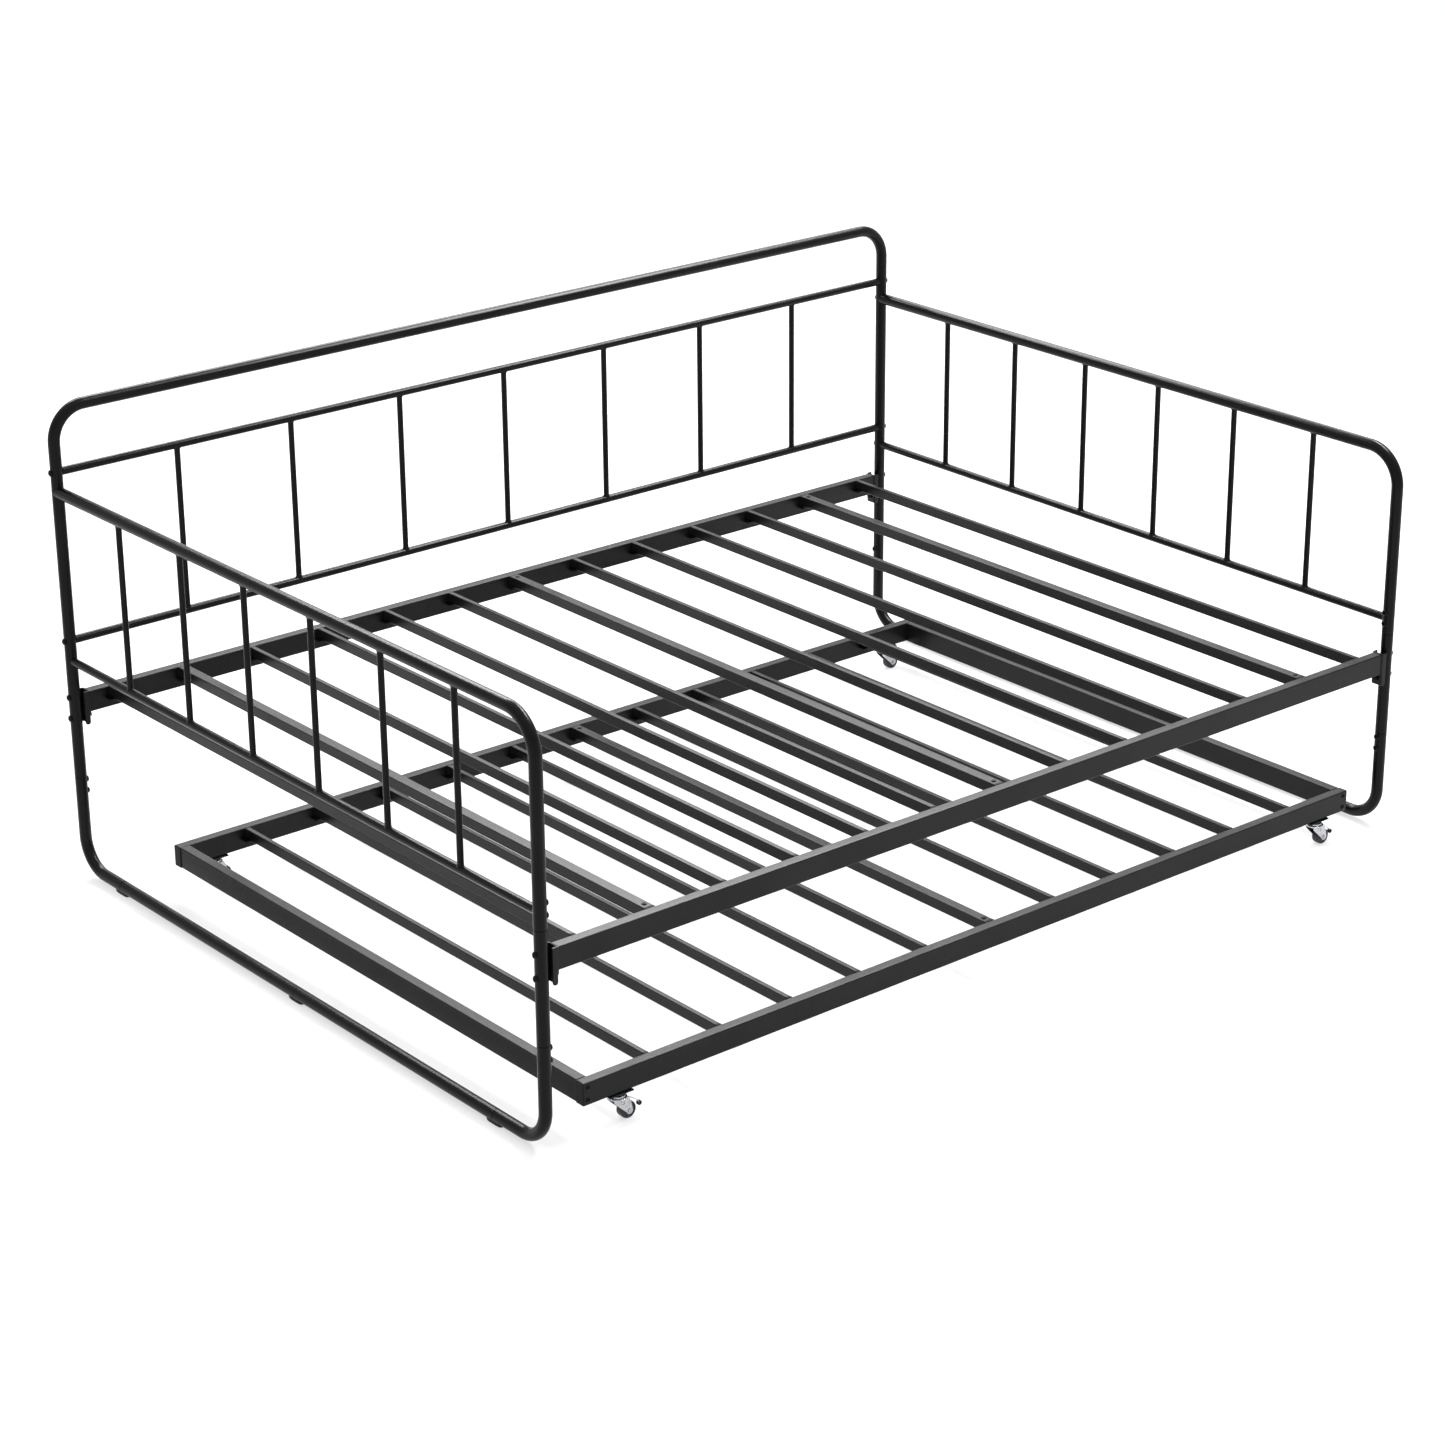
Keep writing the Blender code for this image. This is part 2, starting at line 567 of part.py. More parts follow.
# ---------------------------------------------------------------- casters
def caster(side, end):
    """Swivel caster: plate and race under the rail, fork, wheel, and a lever in front."""
    x = side * CASTER_X
    y = TRUNDLE_FRONT + RAIL_W / 2 if end < 0 else TRUNDLE_BACK - RAIL_W / 2
    tag = "%s_%s" % (end_name(end), side_name(side))
    under = TRUNDLE_TOP - RAIL_H - GAP

    bm = bmesh.new()
    rounded_bar(bm, (x - MOUNT_L / 2, y - MOUNT_W / 2, under - MOUNT_T),
                (x + MOUNT_L / 2, y + MOUNT_W / 2, under), 0, MOUNT_ROUND)
    cup = bmesh.new()
    lathe(cup, (x, y, 0.0), (0, 0, 1),
          [(RACE_BOTTOM, RACE_R - PRESSED_EDGE), (RACE_BOTTOM + PRESSED_EDGE, RACE_R),
           (RACE_TOP - PRESSED_EDGE, RACE_R), (RACE_TOP, CUP_R), (under - MOUNT_T / 3, CUP_R)], RACE_SIDES)
    finish_object("caster_mount_" + tag, joined(bm, cup))

    axle_x = x + TRAIL
    bm = bmesh.new()
    lathe(bm, (x, y, 0.0), (0, 0, 1),
          [(PLATE_LOW, PLATE_R - PRESSED_EDGE), (PLATE_LOW + PRESSED_EDGE, PLATE_R),
           (PLATE_TOP - PRESSED_EDGE, PLATE_R), (PLATE_TOP, PLATE_R - PRESSED_EDGE)], RACE_SIDES)
    legs = bmesh.new()
    pins = bmesh.new()
    for face in (-1, 1):
        y_in, y_out = y + face * LEG_IN, y + face * (LEG_IN + LEG_T)
        in_plate = (PLATE_LOW + PLATE_TOP) / 2 - PRESSED_EDGE / 2
        outline = [(x + LEG_TOP_X[1], in_plate), (x + LEG_TOP_X[0], in_plate), (x + LEG_TOP_X[0], LEG_NECK_Z)]
        for k in range(LEG_ARC_STEPS + 1):
            a = math.radians(LEG_ARC[0] + (LEG_ARC[1] - LEG_ARC[0]) * k / LEG_ARC_STEPS)
            outline.append((axle_x + LEG_END_R * math.cos(a), WHEEL_Z + LEG_END_R * math.sin(a)))
        outline.append((x + LEG_TOP_X[1] + LEG_SWEEP_X, LEG_NECK_Z - MOUNT_T / 2))
        add_rings(legs, [[Vector((u, yy, w)) for u, w in outline] for yy in (y_in, y_out)])
        nut = (axle_x, y_out, WHEEL_Z)
        profile = [(-LEG_T / 2, AXLE_NUT_R), (AXLE_NUT_H * 0.7, AXLE_NUT_R), (AXLE_NUT_H, AXLE_NUT_R * 0.8)]
        lathe(pins, nut, (0, face, 0), profile, PIN_SIDES)
    axle_half = Vector((0, LEG_IN + LEG_T / 4, 0))
    centre = Vector((axle_x, y, WHEEL_Z))
    rod(pins, centre - axle_half, centre + axle_half, AXLE_R, PIN_SIDES)
    axle_and_legs = boolean(mesh_from_bm(legs), pins, "UNION")
    tool = bmesh.new()
    tool.from_mesh(axle_and_legs)
    finish_object("caster_fork_" + tag, joined(bm, tool), (x, y, PLATE_LOW), CHROME, 1.0, 0.12)

    half = WHEEL_W / 2
    bm = bmesh.new()
    lathe(bm, (axle_x, y, WHEEL_Z), (0, 1, 0),
          [(-half, BORE_R), (-half, WHEEL_R - TREAD_ROUND),
           (-half + TREAD_ROUND * 0.3, WHEEL_R - TREAD_ROUND * 0.3), (-half + TREAD_ROUND, WHEEL_R),
           (half - TREAD_ROUND, WHEEL_R), (half - TREAD_ROUND * 0.3, WHEEL_R - TREAD_ROUND * 0.3),
           (half, WHEEL_R - TREAD_ROUND), (half, BORE_R)], WHEEL_SIDES)
    open_bore(bm)
    finish_object("caster_wheel_" + tag, mesh_from_bm(bm), (axle_x, y, WHEEL_Z), DARK_PLASTIC, 0.0, 0.5)
    if end < 0:
        brake_lever(tag, x, y)


def open_bore(bm):
    """Turn the two end caps of a ring-shaped lathe into the wall of its bore."""
    caps = [f for f in bm.faces if len(f.verts) > 4]
    bmesh.ops.delete(bm, geom=caps, context="FACES_ONLY")
    edges = [e for e in bm.edges if len(e.link_faces) == 1]
    bmesh.ops.bridge_loops(bm, edges=edges)


def strap(bm, start, end, half_width, half_thick):
    """Flat strip in a plane of constant Y."""
    along = (end - start).normalized()
    up = along.cross(Vector((0, 1, 0))) * half_thick
    wide = Vector((0, half_width, 0))
    start, end = start - along * half_thick / 2, end + along * half_thick / 2
    add_rings(bm, [[p + up + wide, p + up - wide, p - up - wide, p - up + wide] for p in (start, end)])


def brake_lever(tag, x, y):
    """Strap hinged on a pin across the fork, ending in a rolled ring; worked by a foot."""
    pin = Vector((x + LEVER_PIN_X, y, LEVER_PIN_Z))
    ring = Vector((x + RING_X, y, RING_Z))
    half = Vector((0, LEVER_W / 2, 0))
    knuckle = Vector((0, LEG_IN - GAP, 0))
    bend = Vector((x + LEVER_BEND_X, y, LEVER_BEND_Z))
    tip = ring + Vector((-RING_R / 2, 0, RING_R / 2))
    bm = bmesh.new()
    rod(bm, pin - knuckle, pin + knuckle, LEVER_PIN_R, PIN_SIDES)
    upper = bmesh.new()
    strap(upper, pin, bend, LEVER_W / 2, LEVER_T / 2)
    lower = bmesh.new()
    strap(lower, bend, tip, LEVER_W / 2, LEVER_T / 2)
    loop = bmesh.new()
    rod(loop, ring - half, ring + half, RING_R, RACE_SIDES)
    hole = bmesh.new()
    rod(hole, ring - 2 * half, ring + 2 * half, RING_HOLE_R, RACE_SIDES)
    mesh = joined(bm, upper, lower, loop, cut=hole)
    finish_object("brake_lever_" + tag, mesh, pin, DARK_PLASTIC, 0.0, 0.4)


# ---------------------------------------------------------------- assemble
back_frame()
back_panel()
for side in (-1, 1):
    arm(side)
    front_post(side)
for side in (-1, 1):
    for end in (-1, 1):
        base_bend(side, end)
        floor_bar(side, end)
for end in (-1, 1):
    deck_rail(end)
    trundle_long_rail(end)
deck_slats()
for side in (-1, 1):
    trundle_side_rail(side)
trundle_slats()
for side in (-1, 1):
    for end in (-1, 1):
        caster(side, end)
for ob in bpy.data.objects:
    ob.location.y += CENTRE_SHIFT_Y
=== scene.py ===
"""Looks of the tubular metal trundle bed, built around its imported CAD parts.

Each piece below stands where its CAD node stands and rides on that node's body. Places are read
from the nodes' boxes; the sizes listed here are those of the real members. Metres, +Z up, the
open front towards -Y.
"""
import json
import math

import bmesh
import bpy
from mathutils import Matrix, Vector


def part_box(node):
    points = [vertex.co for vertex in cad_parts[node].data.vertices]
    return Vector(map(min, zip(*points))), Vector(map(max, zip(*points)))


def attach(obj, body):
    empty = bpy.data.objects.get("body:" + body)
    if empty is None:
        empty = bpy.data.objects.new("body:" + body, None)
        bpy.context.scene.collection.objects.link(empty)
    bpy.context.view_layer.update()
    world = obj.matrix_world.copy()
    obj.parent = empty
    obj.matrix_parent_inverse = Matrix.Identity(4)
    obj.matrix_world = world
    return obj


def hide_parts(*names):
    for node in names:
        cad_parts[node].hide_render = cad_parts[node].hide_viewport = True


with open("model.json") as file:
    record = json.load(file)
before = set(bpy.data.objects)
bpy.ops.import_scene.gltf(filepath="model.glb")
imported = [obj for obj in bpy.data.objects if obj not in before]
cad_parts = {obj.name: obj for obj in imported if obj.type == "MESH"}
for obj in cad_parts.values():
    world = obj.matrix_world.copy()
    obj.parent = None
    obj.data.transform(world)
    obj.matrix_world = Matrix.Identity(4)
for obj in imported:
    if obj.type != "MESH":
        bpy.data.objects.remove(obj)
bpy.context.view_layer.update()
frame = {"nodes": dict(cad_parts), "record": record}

# ---------------------------------------------------------------- sizes of the members
TUBE_R = 0.011              # posts, hoop, arms and base
THIN_R = 0.0075             # panel rails and lower arm rails
SPINDLE_R = 0.0055
SPIGOT_R = 0.0094
SOCKET_R = 0.0097
UPPER_SPIGOT = 0.050
LOWER_SPIGOT = 0.040
FLOOR_SPIGOT = 0.035
SOCKET_EXTRA = 0.001
GAP = 0.0003
LIP = 0.0007                # chamfer on a tube's cut end

HOOP_BEND_R = 0.062
ARM_BEND_R = 0.067
BASE_BEND_R = 0.060
BACK_SPINDLES = 7
BACK_SPINDLE_PITCH = 0.2417
ARM_SPINDLES = 6
ARM_SPINDLE_PITCH = 0.1964
ARM_RAIL_DROP = 0.3161      # lower arm rail's centre line below the top one's

RAIL_W = 0.020
RAIL_H = 0.040
RAIL_ROUND = 0.0022
SLAT_H = 0.020
SLAT_ROUND = 0.0015
CAP_L = 0.004               # plastic cap on a slat's end
CAP_PROUD = 0.0004
PLUG_T = 0.0015             # plastic plug in a trundle rail's open end

BRACKET_T = 0.0025
BRACKET_DEPTH = 0.0122      # from the web's inner face to the flanges' ends
BRACKET_HALF_W = 0.012
BRACKET_TAPER = 0.0012
BRACKET_BEND_R = 0.0035
BRACKET_EDGE = 0.0003       # rounding of the bracket's top edge
BRACKET_TAPER_ABOVE = 0.002             # the web narrows from here above the rail's underside
BRACKET_TAPER_BELOW = 0.001             # to here below it
LEDGE_L = 0.016             # reach of a slat's ledge from the rail's face
LEDGE_SUNK = 0.001          # how far the ledge runs into the rail
WIDE_LEDGE = (0.002, 0.006)         # overhang beside the slat, and thickness
NARROW_LEDGE = (0.007, 0.0022)
WELD = 0.0016               # leg of the weld beads

BOLT_R = 0.0062
BOLT_H = 0.0035
SCREW_R = 0.0045
SCREW_H = 0.0020
NUT_R = 0.0048              # half the width across flats
NUT_H = 0.0046
BRACKET_BOLTS_DROP = (0.007, 0.047)         # below the deck's top
UPPER_BOLTS_RISE = (0.0205, 0.0415)         # above the arm's seam
LOWER_BOLTS_DROP = (0.007, 0.029)           # below the base's seam
SLAT_SCREW_IN = 0.015
END_SCREW_IN = 0.010
END_SCREW_Z = 0.011

GLIDE_WIDTH = 0.019
GLIDE_LENGTH = 0.040
GLIDE_TOP = 0.012
GLIDE_RIM = GLIDE_TOP - 0.002
GLIDE_BED_RISE = 0.001      # crown of the bed that the tube lies on
GLIDE_END_RISE = 0.0042     # how far the sole turns up at its ends
GLIDE_END_WIDTH = 0.62      # width at the ends, as a part of the full width
GLIDE_SQUARENESS = 0.35     # lower is squarer: the power of the sole's cross-section
GLIDE_END_SNUB = 5          # higher is blunter: the power of the sole's ends

TUBE_SIDES = 40
THIN_SIDES = 32
SPINDLE_SIDES = 28
BOLT_SIDES = 36
TURNED_SIDES = 64
BOSS_SIDES = 40
SHAFT_SIDES = 32
BEND_STEPS = 22
CORNER_STEPS = 6
GLIDE_STEPS = 16
GLIDE_SOLE_STEPS = 12
GLIDE_BED_STEPS = 6
LEG_ARC_STEPS = 14
STRAP_STEPS = 18
SHARP_ANGLE = math.radians(28)

SIDES = ((-1, "left"), (1, "right"))
ENDS = ((-1, "front"), (1, "back"))

# ---------------------------------------------------------------- places, from the frame
BODIES = frame["record"]["behaviour"]["bodies"]
BODY_OF = {node: body for body, nodes in BODIES.items() for node in nodes}


def low(node):
    """The lowest corner of a node's box at rest."""
    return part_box(node)[0]


def high(node):
    """The highest corner of a node's box at rest."""
    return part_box(node)[1]


def middle(node):
    """The middle of a node's box at rest."""
    return (low(node) + high(node)) / 2


POST_X = high("right_arm").x - TUBE_R
FRONT_Y = low("right_arm").y + TUBE_R
BACK_Y = low("back_frame").y + TUBE_R
HOOP_Z = high("back_frame").z - TUBE_R
ARM_Z = high("right_arm").z - TUBE_R
ARM_LOW_Z = ARM_Z - ARM_RAIL_DROP
PANEL_LOW_Z = low("back_panel").z + THIN_R
PANEL_HIGH_Z = high("back_panel").z - THIN_R
UPPER_SEAM_Z = low("right_arm").z
LOWER_SEAM_Z = high("base_bend_back_right").z
FLOOR_Z = middle("floor_bar_back_right").z
DECK_TOP = high("deck_slat_01").z
TRUNDLE_TOP = high("trundle_slat_01").z
MID_Y = (FRONT_Y + BACK_Y) / 2
SEAM_Y = {-1: low("floor_bar_front_left").y + FLOOR_SPIGOT - GAP,
          1: high("floor_bar_back_left").y - FLOOR_SPIGOT + GAP}
UP = Vector((0, 0, 1))
BACKWARD = Vector((0, 1, 0))


# ---------------------------------------------------------------- mesh helpers
def skin(bm, rings, ringed=False):
    """Skin loops of points into a closed body; ringed joins the last loop to the first."""
    loops = [[bm.verts.new(p) for p in ring] for ring in rings]
    count = len(loops[0])
    pairs = list(zip(loops, loops[1:]))
    if ringed:
        pairs.append((loops[-1], loops[0]))
    for a, b in pairs:
        for i in range(count):
            j = (i + 1) % count
            bm.faces.new((a[i], a[j], b[j], b[i]))
    if not ringed:
        bm.faces.new(list(reversed(loops[0])))
        bm.faces.new(loops[-1])


def square_to(axis):
    """A unit vector square to the axis."""
    side = Vector((0, 0, 1)) if abs(axis.z) < 0.9 else Vector((1, 0, 0))
    return (side - axis * side.dot(axis)).normalized()


def circle(centre, axis, side, radius, sides):
    """Ring of points about the axis, beginning on the given side."""
    other = axis.cross(side)
    turns = [2 * math.pi * k / sides for k in range(sides)]
    return [centre + side * (radius * math.cos(a)) + other * (radius * math.sin(a)) for a in turns]


def hexagon(centre, axis, side, half_flat, sides):
    """A hexagon drawn with as many points as a circle, so that the two can be skinned."""
    other = axis.cross(side)
    points = []
    for k in range(sides):
        a = 2 * math.pi * k / sides
        radius = half_flat / math.cos((a % (math.pi / 3)) - math.pi / 6)
        points.append(centre + side * (radius * math.cos(a)) + other * (radius * math.sin(a)))
    return points


def lathe(bm, centre, axis, profile, sides=TURNED_SIDES, ringed=False):
    """Turned body: profile is a list of (distance along axis, radius)."""
    centre = Vector(centre)
    axis = Vector(axis).normalized()
    side = square_to(axis)
    skin(bm, [circle(centre + axis * t, axis, side, r, sides) for t, r in profile], ringed)


def bow(start, pull, end, steps):
    """Points of the smooth curve from start to end that leans towards pull."""
    points = []
    for k in range(steps + 1):
        t = k / steps
        points.append(start * (1 - t) ** 2 + pull * (2 * t * (1 - t)) + end * t ** 2)
    return points


def cut_corner(before, here, after, reach, steps):
    """Curve in place of the corner at here, from reach before it to reach after it."""
    start = here + (before - here).normalized() * reach
    end = here + (after - here).normalized() * reach
    return bow(start, here, end, steps)


def rounded_profile(corners, rounding, steps=4):
    """Round every inner corner of a turned profile."""
    points = [corners[0]]
    for before, here, after in zip(corners, corners[1:], corners[2:]):
        b, h, a = Vector(before), Vector(here), Vector(after)
        reach = min(rounding, (b - h).length / 2, (a - h).length / 2)
        points += [tuple(point) for point in cut_corner(b, h, a, reach, steps)]
    points.append(corners[-1])
    return points


def bent_path(corners, bend_r):
    """Points and tangents of a flat path with round right-angle bends at its inner corners."""
    corners = [Vector(c) for c in corners]
    path = [(corners[0], (corners[1] - corners[0]).normalized())]
    for before, here, after in zip(corners, corners[1:], corners[2:]):
        d_in = (here - before).normalized()
        d_out = (after - here).normalized()
        centre = here - d_in * bend_r + d_out * bend_r
        for k in range(BEND_STEPS + 1):
            a = math.pi / 2 * k / BEND_STEPS
            point = centre - d_out * (bend_r * math.cos(a)) + d_in * (bend_r * math.sin(a))
            path.append((point, d_in * math.cos(a) + d_out * math.sin(a)))
    path.append((corners[-1], (corners[-1] - corners[-2]).normalized()))
    return path


def tube_end(point, inward, kind):
    """Stations from the far end of a tube's spigot or socket to the tube's full radius."""
    lip = [(point, TUBE_R - LIP), (point + inward * (LIP * 0.4), TUBE_R - LIP * 0.35)]
    lip.append((point + inward * LIP, TUBE_R))
    name, length = kind
    if name == "spigot":
        tip = point - inward * length
        return [(tip, SPIGOT_R - LIP), (tip + inward * LIP, SPIGOT_R), (point, SPIGOT_R)] + lip
    bore = [(point + inward * length, SOCKET_R), (point + inward * LIP, SOCKET_R)]
    return bore + [(point, SOCKET_R + LIP * 0.3)] + lip


def tube(bm, path, flat_normal, start, end):
    """Bent round tube with a spigot or a socket at each end."""
    normal = Vector(flat_normal)
    (p0, t0), (p1, t1) = path[0], path[-1]
    stations = [(p, t0, r) for p, r in tube_end(p0, t0, start)]
    stations += [(p, t, TUBE_R) for p, t in path[1:-1]]
    stations += [(p, t1, r) for p, r in reversed(tube_end(p1, -t1, end))]
    skin(bm, [circle(p, t, normal, r, TUBE_SIDES) for p, t, r in stations])


def cope(centre, axis, across, radius, onto_r, lift, way, sides):
    """Ring of a round member's end, shaped to a tube of radius onto_r that passes through centre.
    across is square to the member and to that tube; way is 1 at the member's start, -1 at its end."""
    along = axis.cross(across)
    ring = []
    for k in range(sides):
        a = 2 * math.pi * k / sides
        aside = radius * math.cos(a)
        reach = math.sqrt(max(onto_r ** 2 - aside ** 2, 0.0)) + lift
        ring.append(centre + across * aside + along * (radius * math.sin(a)) + axis * (way * reach))
    return ring


# how a round member meets a tube: (lift from the tube's surface, growth of the member's radius)
WELDED = ((-0.0006, WELD), (0.0002, WELD * 0.92), (0.0009, WELD * 0.5), (0.0017, WELD * 0.15), (0.0030, 0.0))
BUTTED = ((GAP / 2, -LIP), (GAP / 2 + LIP * 0.4, -LIP * 0.35), (GAP / 2 + LIP, 0.0))


def coped_rod(bm, start, end, across, radius, sides, onto, joints=(WELDED, WELDED)):
    """Straight member between the centre lines of two tubes of radii onto, welded or butted."""
    start, end, across = Vector(start), Vector(end), Vector(across)
    axis = (end - start).normalized()
    rings = [cope(start, axis, across, radius + grow, onto[0], lift, 1, sides) for lift, grow in joints[0]]
    rings += [cope(end, axis, across, radius + grow, onto[1], lift, -1, sides)
              for lift, grow in reversed(joints[1])]
    skin(bm, rings)


def outline(half_w, half_h, rounding):
    """Rectangle with round corners, as offsets from its middle."""
    points = []
    for quarter, (sx, sz) in enumerate(((1, 1), (-1, 1), (-1, -1), (1, -1))):
        for step in range(CORNER_STEPS + 1):
            a = math.pi / 2 * (quarter + step / CORNER_STEPS)
            points.append((sx * (half_w - rounding) + rounding * math.cos(a),
                           sz * (half_h - rounding) + rounding * math.sin(a)))
    return points


# how a bar ends: (distance from its end, growth of its section)
SQUARE_CUT = ((0.0, -0.0004), (0.0004, 0.0))
SOFT_END = ((0.0, -0.0009), (0.0002, -0.0005), (0.0005, -0.0002), (0.0009, 0.0))
WELD_END = ((-0.0004, WELD), (0.0002, WELD * 0.9), (0.0008, WELD * 0.45), (WELD, 0.0))


def bar(bm, start, end, half_w, half_h, rounding, cuts=(SQUARE_CUT, SQUARE_CUT)):
    """Level bar of rounded rectangular section between two points of its middle line."""
    start, end = Vector(start), Vector(end)
    axis = (end - start).normalized()
    across = axis.cross(UP)
    rings = []
    for point, way, stations in ((start, 1, cuts[0]), (end, -1, tuple(reversed(cuts[1])))):
        for inset, grow in stations:
            shape = outline(half_w + grow, half_h + grow, rounding + max(grow, -rounding / 2))
            rings.append([point + axis * (way * inset) + across * u + UP * v for u, v in shape])
    skin(bm, rings)


def block(bm, low_corner, high_corner, along=1, rounding=0.0005):
    """Small plate or pad with softened edges, its section drawn square to the given axis."""
    a, b = Vector(low_corner), Vector(high_corner)
    centre = (a + b) / 2
    start, end = centre.copy(), centre.copy()
    start[along], end[along] = a[along], b[along]
    soft = ((0.0, -rounding), (rounding * 0.3, -rounding * 0.3), (rounding, 0.0))
    bar(bm, start, end, (b - a)[1 - along] / 2, (b - a).z / 2, rounding * 1.5, (soft, soft))


def bolt(bm, seat, axis, radius=BOLT_R, height=BOLT_H):
    """Button head with a hexagon socket, standing on a surface point."""
    axis = Vector(axis).normalized()
    seat = Vector(seat)
    side = square_to(axis)
    dome = ((-0.4, 0.95), (0.02, 0.97), (0.12, 1.0), (0.32, 0.985), (0.55, 0.92), (0.75, 0.81),
            (0.90, 0.67), (0.98, 0.53), (1.0, 0.47))
    rings = [circle(seat + axis * (t * height), axis, side, r * radius, BOLT_SIDES) for t, r in dome]
    for depth, flat in ((1.0, 0.36), (0.94, 0.335), (0.45, 0.335)):
        rings.append(hexagon(seat + axis * (depth * height), axis, side, flat * radius, BOLT_SIDES))
    skin(bm, rings)


def nut(bm, seat, axis, half_flat=NUT_R, height=NUT_H, stud=0.0025):
    """Hexagon nut with chamfered corners and the end of its bolt showing."""
    axis = Vector(axis).normalized()
    seat = Vector(seat)
    side = square_to(axis)
    rings = [hexagon(seat + axis * t, axis, side, half_flat, BOLT_SIDES) for t in (0, height * 0.86)]
    turned = ((height, half_flat * 0.93), (height, stud * 1.15), (height * 0.9, stud * 1.05),
              (height * 1.1, stud), (height * 1.1 + stud * 0.15, stud * 0.8))
    rings += [circle(seat + axis * t, axis, side, radius, BOLT_SIDES) for t, radius in turned]
    skin(bm, rings)


def piece(name, bm, material, node):
    """Make the object: it stands for the node, rides on its body, and takes the finish it is given."""
    bmesh.ops.recalc_face_normals(bm, faces=bm.faces[:])
    mesh = bpy.data.meshes.new(name)
    bm.to_mesh(mesh)
    bm.free()
    mesh.shade_smooth()
    mesh.set_sharp_from_angle(angle=SHARP_ANGLE)
    mesh.materials.append(material)
    ob = bpy.data.objects.new(name, mesh)
    bpy.context.scene.collection.objects.link(ob)
    flat = ob.modifiers.new("flat faces stay flat", "WEIGHTED_NORMAL")
    flat.keep_sharp = True
    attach(ob, BODY_OF[node])
    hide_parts(node)


def spaced(count, pitch):
    """Evenly spaced places about zero."""
    return [(k - (count - 1) / 2) * pitch for k in range(count)]


# ---------------------------------------------------------------- materials
def new_material(name):
    """A material, its node tree and the shader that the tree ends in."""
    material = bpy.data.materials.new(name)
    material.use_nodes = True
    tree = material.node_tree
    return material, tree, tree.nodes["Principled BSDF"]


def noise(tree, scale, detail, rough):
    """Noise in the object's own metres, so scale is in features per metre."""
    place = tree.nodes.new("ShaderNodeTexCoord")
    node = tree.nodes.new("ShaderNodeTexNoise")
    node.inputs["Scale"].default_value = scale
    node.inputs["Detail"].default_value = detail
    node.inputs["Roughness"].default_value = rough
    tree.links.new(place.outputs["Object"], node.inputs["Vector"])
    return node.outputs["Fac"]


def ranged(tree, value, low_value, high_value, from_low=0.3, from_high=0.7):
    """Stretch a value between two limits onto another range, and hold it there."""
    node = tree.nodes.new("ShaderNodeMapRange")
    node.inputs["From Min"].default_value = from_low
    node.inputs["From Max"].default_value = from_high
    node.inputs["To Min"].default_value = low_value
    node.inputs["To Max"].default_value = high_value
    tree.links.new(value, node.inputs["Value"])
    return node.outputs["Result"]


def coloured(tree, value, dark, light):
    """Blend from the dark colour to the light one as the value passes the middle of its range."""
    node = tree.nodes.new("ShaderNodeValToRGB")
    node.color_ramp.elements[0].position = 0.3
    node.color_ramp.elements[0].color = (*dark, 1.0)
    node.color_ramp.elements[1].position = 0.7
    node.color_ramp.elements[1].color = (*light, 1.0)
    tree.links.new(value, node.inputs["Fac"])
    return node.outputs["Color"]


def bumped(tree, shader, layers):
    """Stack bump layers of (height, distance in metres, strength) into the shader's normal."""
    normal = None
    for height, distance, strength in layers:
        node = tree.nodes.new("ShaderNodeBump")
        node.inputs["Distance"].default_value = distance
        node.inputs["Strength"].default_value = strength
        tree.links.new(height, node.inputs["Height"])
        if normal is not None:
            tree.links.new(normal, node.inputs["Normal"])
        normal = node.outputs["Normal"]
    tree.links.new(normal, shader.inputs["Normal"])


def powder_coat(name, dark, light, roughness, reflection):
    """Satin black powder coat: a fine orange peel, with slight clouds in tone and gloss."""
    material, tree, shader = new_material(name)
    shader.inputs["Specular IOR Level"].default_value = reflection
    clouds = noise(tree, scale=9.0, detail=4.0, rough=0.6)
    specks = noise(tree, scale=1700.0, detail=2.0, rough=0.6)
    tree.links.new(coloured(tree, clouds, dark, light), shader.inputs["Base Color"])
    tree.links.new(ranged(tree, specks, roughness - 0.05, roughness + 0.06), shader.inputs["Roughness"])
    peel = noise(tree, scale=420.0, detail=2.0, rough=0.45)
    bumped(tree, shader, ((peel, 0.0006, 0.22), (specks, 0.00018, 0.30)))
    return material


def black_oxide(name):
    """Blackened steel of the bolts, with a slight oily sheen."""
    material, tree, shader = new_material(name)
    grain = noise(tree, scale=2600.0, detail=3.0, rough=0.6)
    shader.inputs["Metallic"].default_value = 0.75
    shader.inputs["Specular IOR Level"].default_value = 0.2
    tone = coloured(tree, grain, (0.003, 0.003, 0.0034), (0.010, 0.010, 0.011))
    tree.links.new(tone, shader.inputs["Base Color"])
    tree.links.new(ranged(tree, grain, 0.20, 0.34), shader.inputs["Roughness"])
    bumped(tree, shader, ((grain, 0.0001, 0.15),))
    return material


def chrome(name):
    """Bright plated steel: pressed sheet with slow waves, faint marks and a little haze."""
    material, tree, shader = new_material(name)
    haze = noise(tree, scale=160.0, detail=4.0, rough=0.6)
    marks = noise(tree, scale=1400.0, detail=3.0, rough=0.7)
    shader.inputs["Metallic"].default_value = 1.0
    tone = coloured(tree, haze, (0.36, 0.37, 0.39), (0.50, 0.51, 0.53))
    tree.links.new(tone, shader.inputs["Base Color"])
    tree.links.new(ranged(tree, haze, 0.05, 0.10), shader.inputs["Roughness"])
    waves = noise(tree, scale=210.0, detail=1.0, rough=0.4)
    bumped(tree, shader, ((waves, 0.0040, 0.16), (marks, 0.0001, 0.05)))
    return material


